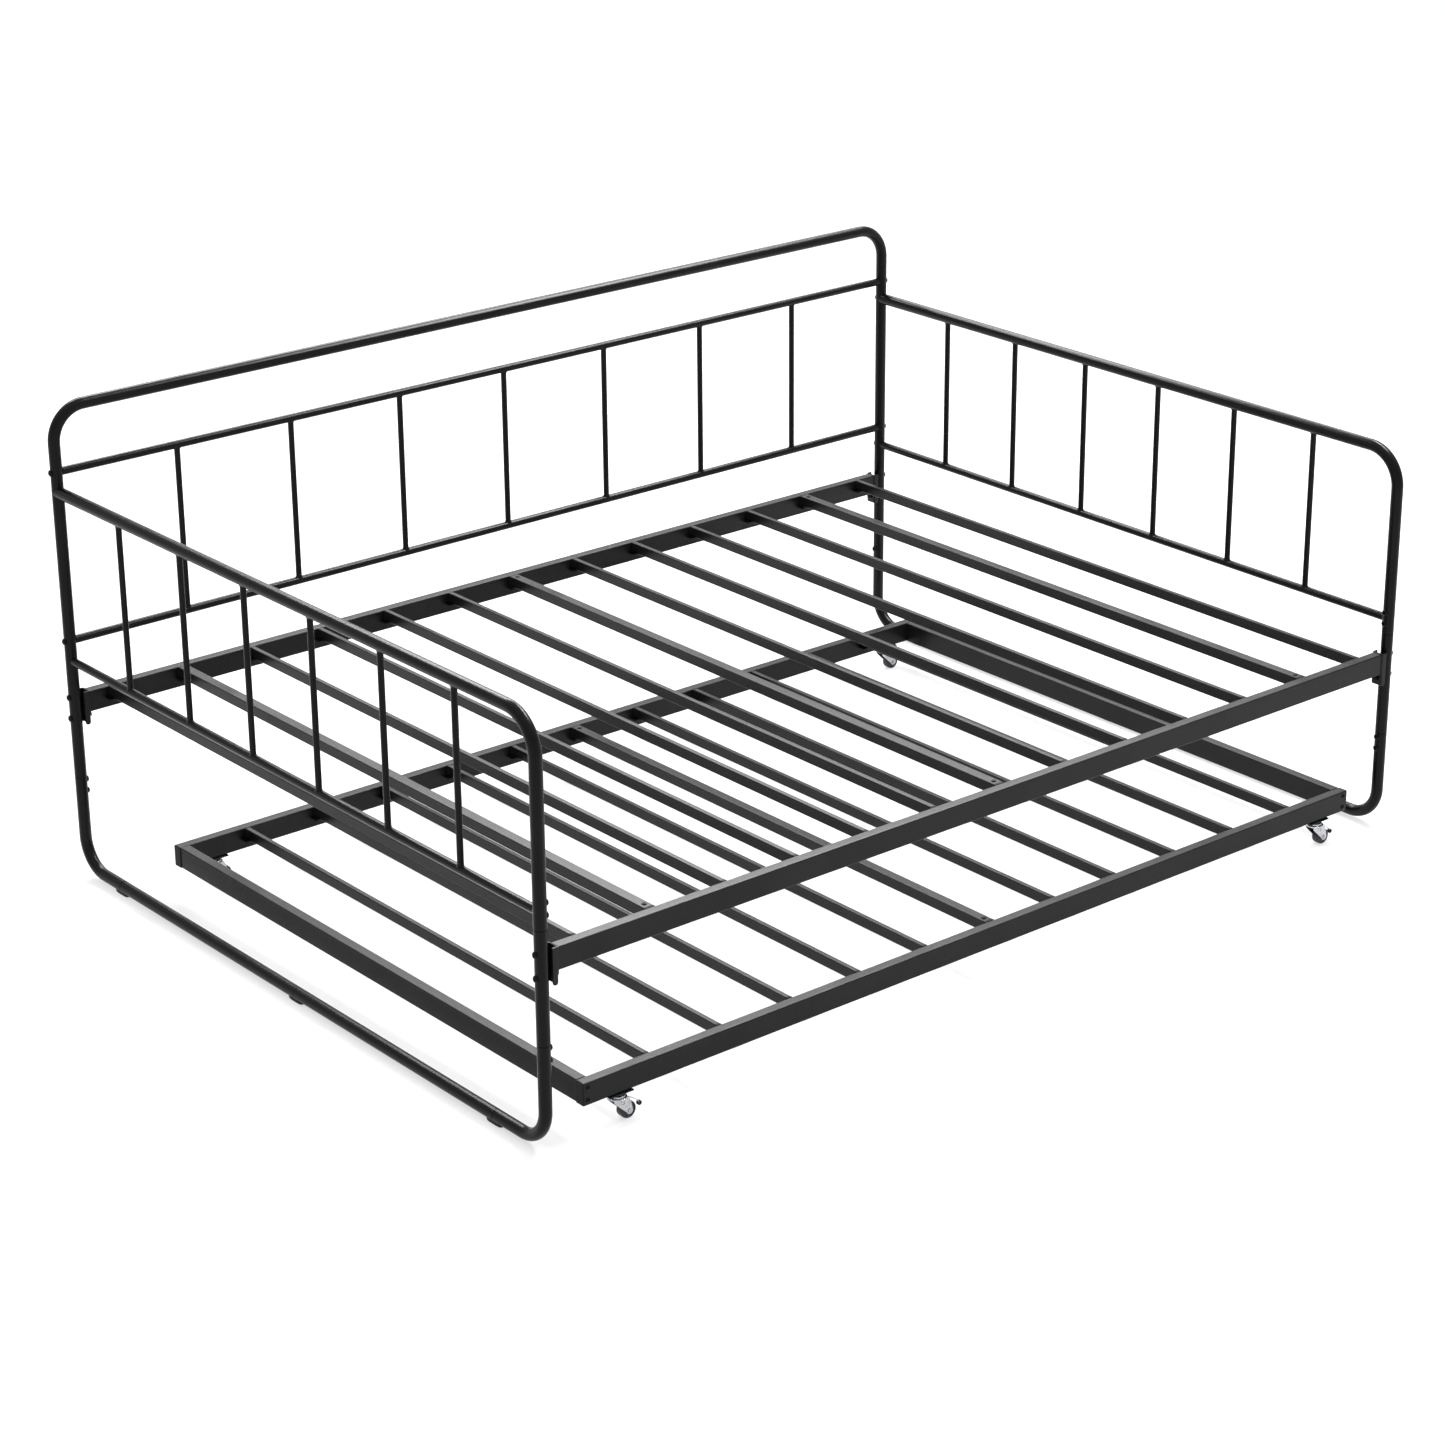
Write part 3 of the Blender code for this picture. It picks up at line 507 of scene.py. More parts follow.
def moulded(name, dark, light, roughness, reflection, grain_scale=1900.0):
    """Black moulded plastic with a spark-eroded grain."""
    material, tree, shader = new_material(name)
    shader.inputs["Specular IOR Level"].default_value = reflection
    grain = noise(tree, scale=grain_scale, detail=3.0, rough=0.65)
    flow = noise(tree, scale=70.0, detail=3.0, rough=0.5)
    tree.links.new(coloured(tree, flow, dark, light), shader.inputs["Base Color"])
    tree.links.new(ranged(tree, grain, roughness - 0.08, roughness + 0.08), shader.inputs["Roughness"])
    bumped(tree, shader, ((grain, 0.00016, 0.25),))
    return material


COAT = powder_coat("powder_coat", (0.0018, 0.0018, 0.0020), (0.0042, 0.0042, 0.0045), 0.22, 0.12)
RAIL_COAT = powder_coat("rail_powder_coat", (0.0030, 0.0030, 0.0033), (0.0068, 0.0068, 0.0072), 0.29, 0.155)
BOLT_STEEL = black_oxide("black_bolt_steel")
CHROME = chrome("plated_steel")
PLASTIC = moulded("black_plastic", (0.0030, 0.0030, 0.0031), (0.0062, 0.0062, 0.0064), 0.50, 0.14)
TYRE = moulded("wheel_polymer", (0.0050, 0.0050, 0.0051), (0.0090, 0.0090, 0.0091), 0.36, 0.40, 1300.0)


# ---------------------------------------------------------------- bed: back, arms and posts
def back_frame():
    """One bent tube that is both back posts and the top rail, with the bolts through it."""
    corners = ((-POST_X, BACK_Y, LOWER_SEAM_Z), (-POST_X, BACK_Y, HOOP_Z),
               (POST_X, BACK_Y, HOOP_Z), (POST_X, BACK_Y, LOWER_SEAM_Z))
    bm = bmesh.new()
    end = ("spigot", LOWER_SPIGOT)
    tube(bm, bent_path(corners, HOOP_BEND_R), (0, 1, 0), end, end)
    piece("back_hoop", bm, COAT, "back_frame")
    bm = bmesh.new()
    for side in (-1, 1):
        for drop in BRACKET_BOLTS_DROP:
            bolt(bm, (side * (POST_X + TUBE_R), BACK_Y, DECK_TOP - drop), (side, 0, 0))
        for z in (PANEL_LOW_Z, PANEL_HIGH_Z):
            bolt(bm, (side * (POST_X + TUBE_R), BACK_Y, z), (side, 0, 0))
        for z in (ARM_Z, ARM_LOW_Z):
            bolt(bm, (side * POST_X, BACK_Y + TUBE_R, z), (0, 1, 0))
    piece("back_hoop_bolts", bm, BOLT_STEEL, "back_frame")


def back_panel():
    """Two rails between the back posts, and the spindles welded between the rails."""
    bm = bmesh.new()
    for z in (PANEL_LOW_Z, PANEL_HIGH_Z):
        coped_rod(bm, (-POST_X, BACK_Y, z), (POST_X, BACK_Y, z), (0, 1, 0), THIN_R, THIN_SIDES,
                  (TUBE_R, TUBE_R), (BUTTED, BUTTED))
    for x in spaced(BACK_SPINDLES, BACK_SPINDLE_PITCH):
        coped_rod(bm, (x, BACK_Y, PANEL_LOW_Z), (x, BACK_Y, PANEL_HIGH_Z), (0, 1, 0), SPINDLE_R,
                  SPINDLE_SIDES, (THIN_R, THIN_R))
    piece("back_panel_spindles", bm, COAT, "back_panel")


def arm(side, name):
    """Top rail and upper front post in one bent tube, with a lower rail and spindles welded in."""
    x = side * POST_X
    corners = ((x, BACK_Y, ARM_Z), (x, FRONT_Y, ARM_Z), (x, FRONT_Y, UPPER_SEAM_Z))
    path = bent_path(corners, ARM_BEND_R)
    bm = bmesh.new()
    ahead, across = Vector((0, -1, 0)), Vector((1, 0, 0))
    rings = [cope(Vector(corners[0]), ahead, across, TUBE_R + grow, TUBE_R, lift, 1, TUBE_SIDES)
             for lift, grow in BUTTED]
    rings += [circle(p, t, across, TUBE_R, TUBE_SIDES) for p, t in path[1:-1]]
    mouth = tube_end(path[-1][0], UP, ("socket", UPPER_SPIGOT + SOCKET_EXTRA))
    rings += [circle(p, -UP, across, r, TUBE_SIDES) for p, r in reversed(mouth)]
    skin(bm, rings)
    coped_rod(bm, (x, BACK_Y, ARM_LOW_Z), (x, FRONT_Y, ARM_LOW_Z), across, THIN_R, THIN_SIDES,
              (TUBE_R, TUBE_R), (BUTTED, WELDED))
    for y in spaced(ARM_SPINDLES, ARM_SPINDLE_PITCH):
        coped_rod(bm, (x, MID_Y + y, ARM_LOW_Z), (x, MID_Y + y, ARM_Z), across, SPINDLE_R,
                  SPINDLE_SIDES, (THIN_R, TUBE_R))
    piece(name + "_tubes", bm, COAT, name)
    bm = bmesh.new()
    for rise in UPPER_BOLTS_RISE:
        bolt(bm, (x - side * TUBE_R, FRONT_Y, UPPER_SEAM_Z + rise), (-side, 0, 0))
    piece(name + "_bolts", bm, BOLT_STEEL, name)


def front_post(side, name):
    """Middle length of a front post, with a spigot at each end and the deck rail's bolts."""
    x = side * POST_X
    path = [(Vector((x, FRONT_Y, LOWER_SEAM_Z + GAP)), UP), (Vector((x, FRONT_Y, UPPER_SEAM_Z - GAP)), UP)]
    bm = bmesh.new()
    tube(bm, path, (1, 0, 0), ("spigot", LOWER_SPIGOT), ("spigot", UPPER_SPIGOT))
    piece(name + "_tube", bm, COAT, name)
    bm = bmesh.new()
    for drop in BRACKET_BOLTS_DROP:
        bolt(bm, (x + side * TUBE_R, FRONT_Y, DECK_TOP - drop), (side, 0, 0))
    piece(name + "_bolts", bm, BOLT_STEEL, name)


# ---------------------------------------------------------------- bed: base
def glide(bm, x, y):
    """Pad under a floor seam: a flat sole, turned-up ends and a bed for the tube."""
    half_l, half_w = GLIDE_LENGTH / 2, GLIDE_WIDTH / 2
    rings = []
    for k in range(GLIDE_STEPS + 1):
        t = -1 + 2 * k / GLIDE_STEPS
        here_y = y + t * half_l
        swell = math.sqrt(max(1 - abs(t) ** GLIDE_END_SNUB, 0.0))
        sole = (1 - swell) * GLIDE_END_RISE
        reach = half_w * (GLIDE_END_WIDTH + (1 - GLIDE_END_WIDTH) * swell)
        ring = []
        for j in range(GLIDE_SOLE_STEPS + 1):
            a = math.pi * j / GLIDE_SOLE_STEPS
            drop = (GLIDE_RIM - sole) * math.sin(a) ** GLIDE_SQUARENESS
            ring.append(Vector((x + reach * math.cos(a), here_y, GLIDE_RIM - drop)))
        for j in range(1, GLIDE_BED_STEPS):
            u = -1 + 2 * j / GLIDE_BED_STEPS
            ring.append(Vector((x + reach * u, here_y, GLIDE_RIM + GLIDE_BED_RISE * (1 - u * u))))
        rings.append(ring)
    skin(bm, rings)


def base_bend(side, end, node):
    """Bend from a post to the floor bar, with its bolts and the glide under its end."""
    x = side * POST_X
    y = FRONT_Y if end < 0 else BACK_Y
    seam_y = SEAM_Y[end]
    corners = ((x, y, LOWER_SEAM_Z), (x, y, FLOOR_Z), (x, seam_y, FLOOR_Z))
    bm = bmesh.new()
    tube(bm, bent_path(corners, BASE_BEND_R), (1, 0, 0), ("socket", LOWER_SPIGOT + SOCKET_EXTRA),
         ("socket", FLOOR_SPIGOT + SOCKET_EXTRA))
    piece(node + "_tube", bm, COAT, node)
    bm = bmesh.new()
    glide(bm, x, seam_y)
    piece(node + "_glide", bm, PLASTIC, node)
    bm = bmesh.new()
    for drop in LOWER_BOLTS_DROP:
        bolt(bm, (x - side * TUBE_R, y, LOWER_SEAM_Z - drop), (-side, 0, 0))
    piece(node + "_bolts", bm, BOLT_STEEL, node)


def floor_bar(side, end, node):
    """Half of one side's floor tube; the front half has the glide under the middle joint."""
    x = side * POST_X
    inner = MID_Y + end * GAP / 2
    outer = SEAM_Y[end] - end * GAP
    ahead = Vector((0, end, 0))
    bm = bmesh.new()
    path = [(Vector((x, inner, FLOOR_Z)), ahead), (Vector((x, outer, FLOOR_Z)), ahead)]
    joint = ("spigot", FLOOR_SPIGOT) if end > 0 else ("socket", FLOOR_SPIGOT + SOCKET_EXTRA)
    tube(bm, path, (1, 0, 0), joint, ("spigot", FLOOR_SPIGOT))
    piece(node + "_tube", bm, COAT, node)
    if end < 0:
        bm = bmesh.new()
        glide(bm, x, MID_Y)
        piece(node + "_glide", bm, PLASTIC, node)


# ---------------------------------------------------------------- rails and slats
def ledge(bm, slat, face_y, inward, wide):
    """Small ledge under one end of a slat, with a weld bead along its lower edge."""
    a, b = low(slat), high(slat)
    overhang, thick = WIDE_LEDGE if wide else NARROW_LEDGE
    top = a.z - GAP
    y0, y1 = sorted((face_y - inward * LEDGE_SUNK, face_y + inward * LEDGE_L))
    block(bm, (a.x - overhang, y0, top - thick), (b.x, y1, top))
    bead_y = face_y + inward * WELD * 0.4
    inset, sunk = 0.001, 0.0005
    bead_low = (a.x - overhang + inset, min(face_y, bead_y) - sunk, top - thick - WELD * 0.7)
    bead_high = (b.x - inset, max(face_y, bead_y) + sunk, top - thick + 0.0004)
    block(bm, bead_low, bead_high, 0, 0.0007)


def channel_bracket(bm, side, y, node):
    """Bent channel at a deck rail's end: web across the rail, flanges beside the post."""
    bottom, top = low(node).z, high(node).z
    inner = high(node).x - BRACKET_DEPTH
    half_w = BRACKET_HALF_W
    inside = half_w - BRACKET_T
    depth = BRACKET_DEPTH
    shape = [(depth, inside), (BRACKET_T, inside), (BRACKET_T, -inside), (depth, -inside), (depth, -half_w)]
    for turn, sy in ((0, -1), (1, 1)):
        for k in range(CORNER_STEPS + 1):
            a = math.pi / 2 * k / CORNER_STEPS
            along, down = (math.sin(a), math.cos(a)) if turn == 0 else (math.cos(a), math.sin(a))
            shape.append((BRACKET_BEND_R * (1 - along), sy * (half_w - BRACKET_BEND_R * (1 - down))))
    shape.append((depth, half_w))
    under = DECK_TOP - RAIL_H
    levels = [(top, BRACKET_EDGE, BRACKET_EDGE), (top - 0.0005, 0.0, 0.0),
              (under + BRACKET_TAPER_ABOVE, 0.0, 0.0), (under - BRACKET_TAPER_BELOW, BRACKET_TAPER, 0.0)]
    for k in range(CORNER_STEPS + 1):
        a = math.pi / 2 * k / CORNER_STEPS
        cut = BRACKET_BEND_R * (1 - math.cos(a))
        levels.append((bottom + BRACKET_BEND_R * (1 - math.sin(a)), BRACKET_TAPER + cut, cut))
    rings = []
    for z, cut_in, cut_out in levels:
        scale = (depth - cut_in - cut_out) / depth
        rings.append([Vector((side * (inner + cut_in + d * scale), y + w, z)) for d, w in shape])
    skin(bm, rings)


def slat_names(prefix):
    """The slats' nodes in their order."""
    return sorted(n for n in frame["nodes"] if n.startswith(prefix))


def is_wide(slat):
    """A wide slat is as wide as it is high; the others are half as wide."""
    return high(slat).x - low(slat).x > SLAT_H * 0.9


def deck_rail(end, node):
    """Long rail with a bracket welded to each end, the brackets' nuts and the slats' ledges."""
    y = FRONT_Y if end < 0 else BACK_Y
    bm = bmesh.new()
    z = DECK_TOP - RAIL_H / 2
    web_face = high(node).x - BRACKET_DEPTH
    web = web_face + BRACKET_T / 3
    bar(bm, (-web, y, z), (web, y, z), RAIL_W / 2, RAIL_H / 2, RAIL_ROUND, (WELD_END, WELD_END))
    for side in (-1, 1):
        channel_bracket(bm, side, y, node)
    for name in slat_names("deck_slat"):
        ledge(bm, name, y - end * RAIL_W / 2, -end, is_wide(name))
    piece(node + "_tube", bm, RAIL_COAT, node)
    bm = bmesh.new()
    for side in (-1, 1):
        nut(bm, (side * web_face, y, DECK_TOP - BRACKET_BOLTS_DROP[1]), (-side, 0, 0))
    piece(node + "_nuts", bm, BOLT_STEEL, node)


def slat(node):
    """Bar with a plastic cap on each end, and screws near the ends if it is a wide one."""
    a, b = low(node), high(node)
    x, z = (a.x + b.x) / 2, a.z + SLAT_H / 2
    half_w = (b.x - a.x) / 2
    bm = bmesh.new()
    bar(bm, (x, a.y + CAP_L, z), (x, b.y - CAP_L, z), half_w, SLAT_H / 2, SLAT_ROUND)
    piece(node + "_bar", bm, RAIL_COAT, node)
    bm = bmesh.new()
    for y0, y1 in ((a.y, a.y + CAP_L - 0.0002), (b.y - CAP_L + 0.0002, b.y)):
        bar(bm, (x, y0, z), (x, y1, z), half_w + CAP_PROUD, SLAT_H / 2, SLAT_ROUND, (SOFT_END, SOFT_END))
    piece(node + "_caps", bm, PLASTIC, node)
    if is_wide(node):
        bm = bmesh.new()
        for y in (a.y + SLAT_SCREW_IN, b.y - SLAT_SCREW_IN):
            bolt(bm, (x, y, a.z + SLAT_H), (0, 0, 1), SCREW_R, SCREW_H)
        piece(node + "_screws", bm, BOLT_STEEL, node)


def trundle_long_rail(end, node):
    """Long rail with its plugged open ends, the corner screws and the ledges for the slats."""
    half_x = high(node).x
    face = low("trundle_rail_front").y + SCREW_H if end < 0 else high("trundle_rail_back").y - SCREW_H
    y = face - end * RAIL_W / 2
    z = TRUNDLE_TOP - RAIL_H / 2
    bm = bmesh.new()
    bar(bm, (-half_x + PLUG_T, y, z), (half_x - PLUG_T, y, z), RAIL_W / 2, RAIL_H / 2, RAIL_ROUND)
    for name in slat_names("trundle_slat"):
        ledge(bm, name, face - end * RAIL_W, -end, is_wide(name))
    piece(node + "_tube", bm, RAIL_COAT, node)
    bm = bmesh.new()
    for side in (-1, 1):
        bar(bm, (side * (half_x - PLUG_T + 0.0001), y, z), (side * half_x, y, z), RAIL_W / 2 - 0.0002,
            RAIL_H / 2 - 0.0002, RAIL_ROUND, (SQUARE_CUT, SOFT_END))
    piece(node + "_plugs", bm, PLASTIC, node)
    bm = bmesh.new()
    for side in (-1, 1):
        for lift in (-END_SCREW_Z, END_SCREW_Z):
            bolt(bm, (side * (half_x - END_SCREW_IN), face, z + lift), (0, end, 0), SCREW_R, SCREW_H)
    piece(node + "_screws", bm, BOLT_STEEL, node)


def trundle_side_rail(node):
    """Short rail between the two long ones."""
    a, b = low(node), high(node)
    x, z = (a.x + b.x) / 2, (a.z + b.z) / 2
    bm = bmesh.new()
    bar(bm, (x, a.y, z), (x, b.y, z), RAIL_W / 2, RAIL_H / 2, RAIL_ROUND)
    piece(node + "_tube", bm, RAIL_COAT, node)


# ---------------------------------------------------------------- casters
PLATE_T = 0.003
STUD_R = 0.0085             # round stud between the race and the plate
RACE_R = 0.0130
RACE_TOP = 0.0462
RACE_BOTTOM = 0.0432
DISC_R = 0.0162
DISC_TOP = 0.0429
DISC_LOW = 0.0400
DISC_DISH = 0.0010          # depth of the ball track pressed into the disc
DISC_BORE_R = 0.0060
DISC_HUB_R = 0.0086         # boss that is pressed down between the legs
LEG_T = 0.0018
LEG_IN = 0.0086             # inner face of a leg, from the caster's middle plane
LEG_END_R = 0.0064          # round end of a leg, about the axle
LEG_ARC_START = 205         # degrees about the axle
LEG_ARC = 160
LEG_CORNER = 0.0014         # blend at the leg's other corners
LEG_CORNER_SIDE = 0.003     # a corner with a shorter side belongs to the round end
# corners of a leg's side view: distance along X from the swivel's axis, and depth below the disc
LEG_NEAR_SIDE = ((-0.0135, -0.0008), (-0.0128, 0.0040))
LEG_FAR_SIDE = ((0.0190, 0.0070), (0.0150, -0.0008))
# softened edges of a leg: distance through the sheet, and growth of the outline
LEG_EDGES = ((0.0, -0.0004), (0.0004, 0.0), (LEG_T - 0.0005, 0.0), (LEG_T - 0.0001, -0.0003),
             (LEG_T, -0.0007))
BOSS_R = 0.0040             # pressed stiffening ring on each leg
BOSS_H = 0.0009
BOSS_X = 0.0035
BOSS_Z = 0.0335
AXLE_R = 0.0025
AXLE_NUT_FLAT = 0.00357     # half the width across flats
AXLE_NUT_H = 0.0019
AXLE_STUD_R = 0.0016
WHEEL_BORE_R = 0.0028
HUB_R = 0.0056
WHEEL_STEP = 0.0016         # how deep the wheel's faces are recessed
TREAD_H = 0.0042            # from the recess to the tread
PIN_R = 0.0030              # knuckle of the brake lever
RING_R = 0.0042
RING_BORE_R = 0.0028
STRAP_HALF_W = 0.0025
STRAP_HALF_T = 0.0008
SUNK = 0.0002               # how far the casters' joined shapes run into each other


def caster_mount(node):
    """Plate under the rail, the upper ball race pressed on it, and the stud between them."""
    a, b = low(node), high(node)
    x, y = (a.x + b.x) / 2, (a.y + b.y) / 2
    plate_low = b.z - PLATE_T
    bm = bmesh.new()
    block(bm, (a.x, a.y, plate_low), (b.x, b.y, b.z), 0, 0.0007)
    piece(node + "_plate", bm, COAT, node)
    bm = bmesh.new()
    corners = [(RACE_BOTTOM, RACE_R - 0.0012), (RACE_BOTTOM, RACE_R), (RACE_TOP, RACE_R),
               (RACE_TOP, STUD_R + 0.0013), (RACE_TOP + 0.0016, STUD_R + 0.0003),
               (plate_low, STUD_R), (plate_low, STUD_R - 0.0025)]
    lathe(bm, (x, y, 0), UP, rounded_profile(corners, 0.0008))
    piece(node + "_race", bm, CHROME, node)


def leg_outline(x, axle_x, axle_z, grow=0.0):
    """Side view of the fork leg: broad under the disc, swept back to a round end at the axle."""
    points = [Vector((x + u - grow, DISC_LOW - v)) for u, v in LEG_NEAR_SIDE]
    for k in range(LEG_ARC_STEPS + 1):
        a = math.radians(LEG_ARC_START + k * LEG_ARC / LEG_ARC_STEPS)
        round_r = LEG_END_R + grow
        points.append(Vector((axle_x + round_r * math.cos(a), axle_z + round_r * math.sin(a))))
    points += [Vector((x + u + grow, DISC_LOW - v)) for u, v in LEG_FAR_SIDE]
    smooth = []
    for k, here in enumerate(points):
        before, after = points[k - 1], points[(k + 1) % len(points)]
        if min((here - before).length, (here - after).length) < LEG_CORNER_SIDE:
            smooth.append(here)
        else:
            smooth += cut_corner(before, here, after, LEG_CORNER, 3)
    return smooth


def caster_fork(node, wheel):
    """Plated fork: pressed disc with a rolled edge, two swept legs, and the axle's nuts."""
    a, b = low(node), high(node)
    y = (a.y + b.y) / 2
    x = a.x + DISC_R
    axle = middle(wheel)
    track = DISC_TOP - DISC_DISH
    bm = bmesh.new()
    corners = [(DISC_LOW - 0.0008, DISC_HUB_R), (DISC_LOW, DISC_R - 0.0016), (DISC_LOW, DISC_R),
               (DISC_TOP, DISC_R), (DISC_TOP, RACE_R + 0.0006), (track, RACE_R - 0.0006),
               (track, DISC_BORE_R)]
    lathe(bm, (x, y, 0), UP, rounded_profile(corners, 0.0008))
    for face in (-1, 1):
        rings = []
        for across, grow in LEG_EDGES:
            shape = leg_outline(x, axle.x, axle.z, grow)
            rings.append([Vector((p.x, y + face * (LEG_IN + across), p.y)) for p in shape])
        skin(bm, rings)
        boss = [(-0.0006, BOSS_R - 0.0014), (BOSS_H, BOSS_R - 0.0008), (BOSS_H, BOSS_R),
                (-0.0006, BOSS_R + 0.0007)]
        outer = y + face * (LEG_IN + LEG_T)
        lathe(bm, (x + BOSS_X, outer, BOSS_Z), (0, face, 0), rounded_profile(boss, 0.0004), BOSS_SIDES, True)
    shank = [(0, AXLE_R), (2 * (LEG_IN + SUNK), AXLE_R)]
    lathe(bm, (axle.x, y - LEG_IN - SUNK, axle.z), BACKWARD, shank, SHAFT_SIDES)
    piece(node + "_body", bm, CHROME, node)
    bm = bmesh.new()
    for face in (-1, 1):
        seat = (axle.x, y + face * (LEG_IN + LEG_T - SUNK), axle.z)
        nut(bm, seat, (0, face, 0), AXLE_NUT_FLAT, AXLE_NUT_H, AXLE_STUD_R)
    piece(node + "_nuts", bm, CHROME, node)


def caster_wheel(node):
    """Moulded wheel: crowned tread, recessed faces and a raised hub around its bore."""
    a, b = low(node), high(node)
    radius, half = (b.z - a.z) / 2, (b.y - a.y) / 2
    hub_face = half - 0.0002
    recess = half - WHEEL_STEP
    one_side = [(hub_face, WHEEL_BORE_R), (hub_face, HUB_R - 0.0008), (recess, HUB_R),
                (recess, radius - TREAD_H), (half, radius - 0.0034), (half, radius - 0.0018),
                (half - 0.0012, radius - 0.0004)]
    groove = radius - 0.0005
    parting_line = [(-0.0006, radius), (-0.0003, groove), (0.0003, groove), (0.0006, radius)]
    corners = [(-t, r) for t, r in one_side]
    corners += [(-half * 0.5, radius)] + parting_line + [(half * 0.5, radius)]
    corners += list(reversed(one_side))
    bm = bmesh.new()
    lathe(bm, (a + b) / 2, BACKWARD, rounded_profile(corners, 0.0007), TURNED_SIDES, True)
    piece(node + "_tyre", bm, TYRE, node)


def brake_lever(node, fork):
    """Strap on a pin across the fork, bent down to a rolled ring that a foot works."""
    a, b = low(node), high(node)
    y = middle(fork).y
    pin = Vector((a.x + PIN_R, y, b.z - PIN_R))
    ring = Vector((b.x - RING_R, y, a.z + RING_R))
    knuckle = LEG_IN - GAP
    edge = 0.0004
    roll = [(0, PIN_R - edge), (edge, PIN_R), (2 * knuckle - edge, PIN_R), (2 * knuckle, PIN_R - edge)]
    bm = bmesh.new()
    lathe(bm, pin - BACKWARD * knuckle, BACKWARD, roll, SHAFT_SIDES)
    shoulder = pin + Vector((0.0165, 0, -0.0020))
    foot = ring + Vector((-0.0020, 0, 0.0034))
    rings = []
    for k, here in enumerate(bow(pin, shoulder, foot, STRAP_STEPS)):
        t = k / STRAP_STEPS
        along = ((shoulder - pin) * (1 - t) + (foot - shoulder) * t).normalized()
        out = along.cross(BACKWARD)
        section = outline(STRAP_HALF_W * (1.0 + 0.35 * (1 - t)), STRAP_HALF_T, edge)
        rings.append([here + BACKWARD * u + out * v for u, v in section])
    skin(bm, rings)
    piece(node + "_strap", bm, CHROME, node)
    bm = bmesh.new()
    half = [(STRAP_HALF_W, RING_BORE_R), (STRAP_HALF_W, RING_R - edge / 2), (STRAP_HALF_W - edge, RING_R)]
    wall = [(-t, r) for t, r in half] + list(reversed(half))
    lathe(bm, ring, BACKWARD, wall, BOSS_SIDES, True)
    piece(node + "_ring", bm, PLASTIC, node)


# ---------------------------------------------------------------- put the bed together
back_frame()
back_panel()
for side, side_name in SIDES:
    arm(side, side_name + "_arm")
    front_post(side, "front_%s_post" % side_name)
    for end, end_name in ENDS:
        tag = "%s_%s" % (end_name, side_name)
        base_bend(side, end, "base_bend_" + tag)
        floor_bar(side, end, "floor_bar_" + tag)
        caster_mount("caster_mount_" + tag)
        caster_fork("caster_fork_" + tag, "caster_wheel_" + tag)
        caster_wheel("caster_wheel_" + tag)
        if end < 0:
            brake_lever("brake_lever_" + tag, "caster_fork_" + tag)
    trundle_side_rail("trundle_rail_" + side_name)
for end, end_name in ENDS:
    deck_rail(end, "deck_rail_" + end_name)
    trundle_long_rail(end, "trundle_rail_" + end_name)
for name in slat_names("deck_slat") + slat_names("trundle_slat"):
    slat(name)


# ---------------------------------------------------------------- studio
FLOOR_REACH = 30.0
FLOOR_GLOW = 0.62           # light of the floor's own, which keeps its shadows faint
CAMERA_PLACE = (-3.8571, -4.6276 + MID_Y, 2.6984)
CAMERA_AZIMUTH = math.radians(39.537)       # from +Y towards +X
CAMERA_DOWN = math.radians(22.101)
CAMERA_ROLL = -0.0075
CAMERA_LENS = 88.84         # millimetres
FILM_WIDTH = 36.0
FAR_CLIP = 200.0


def studio_floor():
    """White paper that is lit from above and glows a little itself."""
    material, tree, shader = new_material("studio_paper")
    grain = noise(tree, scale=60.0, detail=3.0, rough=0.5)
    tone = coloured(tree, grain, (0.30, 0.30, 0.30), (0.32, 0.32, 0.32))
    tree.links.new(tone, shader.inputs["Base Color"])
    shader.inputs["Roughness"].default_value = 0.9
    shader.inputs["Emission Color"].default_value = (1.0, 1.0, 1.0, 1.0)
    shader.inputs["Emission Strength"].default_value = FLOOR_GLOW
    bm = bmesh.new()
    corners = [(FLOOR_REACH * u, FLOOR_REACH * v, 0) for u, v in ((-1, -1), (1, -1), (1, 1), (-1, 1))]
    bm.faces.new([bm.verts.new(c) for c in corners])
    mesh = bpy.data.meshes.new("studio_floor")
    bm.to_mesh(mesh)
    bm.free()
    mesh.materials.append(material)
    floor = bpy.data.objects.new("studio_floor", mesh)
    bpy.context.scene.collection.objects.link(floor)


def soft_light(name, place, target, size, power):
    """Rectangular light at place that faces target; size in metres, power in watts."""
    data = bpy.data.lights.new(name, "AREA")
    data.shape = "RECTANGLE"
    data.size, data.size_y = size
    data.energy = power
    light = bpy.data.objects.new(name, data)
    light.location = place
    light.rotation_mode = "QUATERNION"
    light.rotation_quaternion = (Vector(target) - Vector(place)).to_track_quat("-Z", "Y")
    bpy.context.scene.collection.objects.link(light)


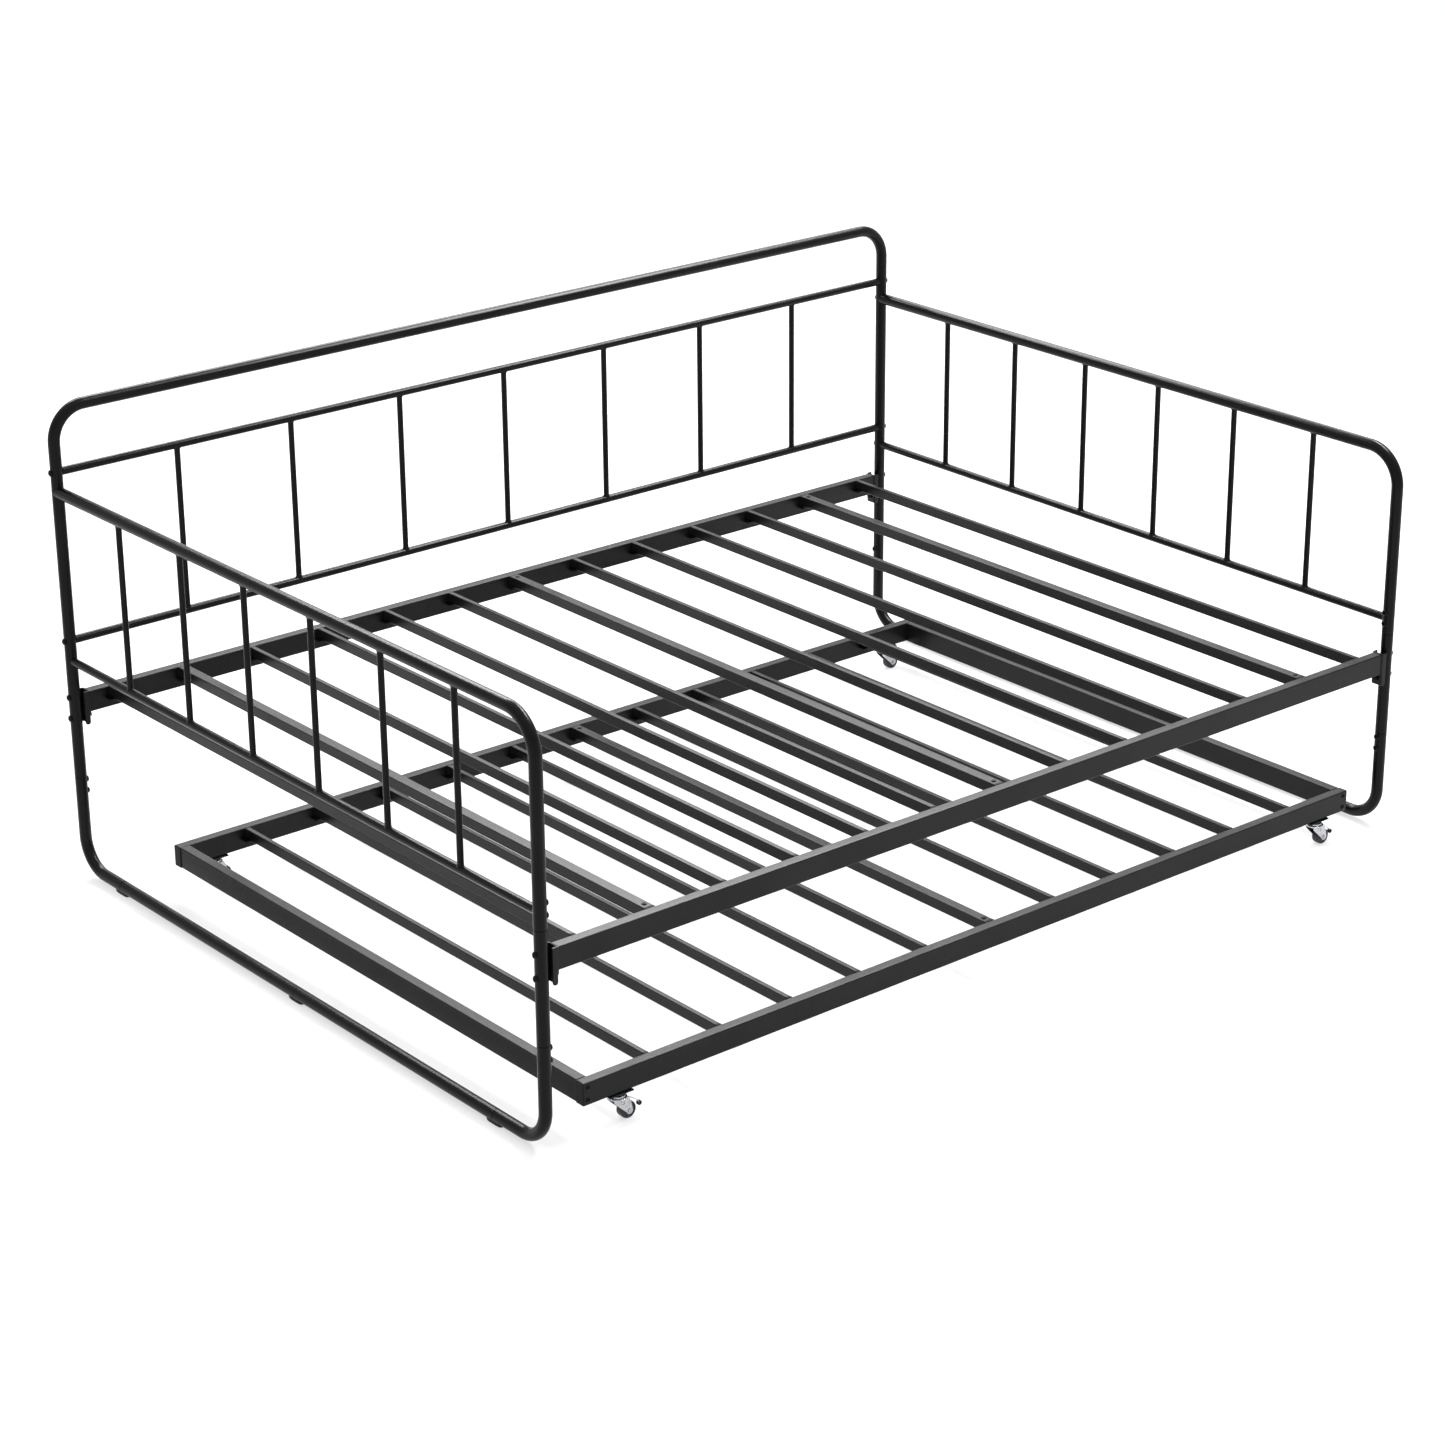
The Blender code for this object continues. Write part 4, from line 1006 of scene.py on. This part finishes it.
def sky(level_strength, overhead_strength, wall_strength):
    """White studio dome that brightens overhead, with a lit wall standing low all round it."""
    world = bpy.data.worlds.new("studio_white")
    world.use_nodes = True
    tree = world.node_tree
    back = tree.nodes["Background"]
    back.inputs["Color"].default_value = (1.0, 1.0, 1.0, 1.0)
    place = tree.nodes.new("ShaderNodeTexCoord")
    parts = tree.nodes.new("ShaderNodeSeparateXYZ")
    tree.links.new(place.outputs["Generated"], parts.inputs["Vector"])
    height = parts.outputs["Z"]
    total = tree.nodes.new("ShaderNodeMath")
    total.operation = "ADD"
    dome = ranged(tree, height, level_strength, overhead_strength, from_low=0.0, from_high=0.8)
    wall = ranged(tree, height, wall_strength, 0.0, from_low=0.14, from_high=0.28)
    tree.links.new(dome, total.inputs[0])
    tree.links.new(wall, total.inputs[1])
    tree.links.new(total.outputs["Value"], back.inputs["Strength"])
    bpy.context.scene.world = world


def camera():
    """Standing off the front left corner, looking down the bed's diagonal."""
    level_ahead = Vector((math.sin(CAMERA_AZIMUTH), math.cos(CAMERA_AZIMUTH), 0))
    forward = level_ahead * math.cos(CAMERA_DOWN) - UP * math.sin(CAMERA_DOWN)
    level = Vector((math.cos(CAMERA_AZIMUTH), -math.sin(CAMERA_AZIMUTH), 0))
    above = level.cross(forward)
    right = level * math.cos(CAMERA_ROLL) + above * math.sin(CAMERA_ROLL)
    data = bpy.data.cameras.new("studio_camera")
    data.lens = CAMERA_LENS
    data.sensor_width = FILM_WIDTH
    data.clip_end = FAR_CLIP
    cam = bpy.data.objects.new("studio_camera", data)
    turn = Matrix((right, right.cross(forward), -forward)).transposed()
    cam.matrix_world = Matrix.Translation(CAMERA_PLACE) @ turn.to_4x4()
    bpy.context.scene.collection.objects.link(cam)
    bpy.context.scene.camera = cam


studio_floor()
sky(0.55, 1.10, 0.46)
soft_light("behind", (3.8, 4.8, 4.4), (0, 0, 0.3), (4.6, 2.2), 240.0)
soft_light("overhead", (2.4, 0.1, 4.1), (0, 0.7, 0.9), (3.0, 1.0), 400.0)
soft_light("back_right", (0.7, 2.9, 3.5), (0, 0, 0.7), (3.0, 0.6), 150.0)
camera()
bpy.context.scene.view_settings.view_transform = "Standard"
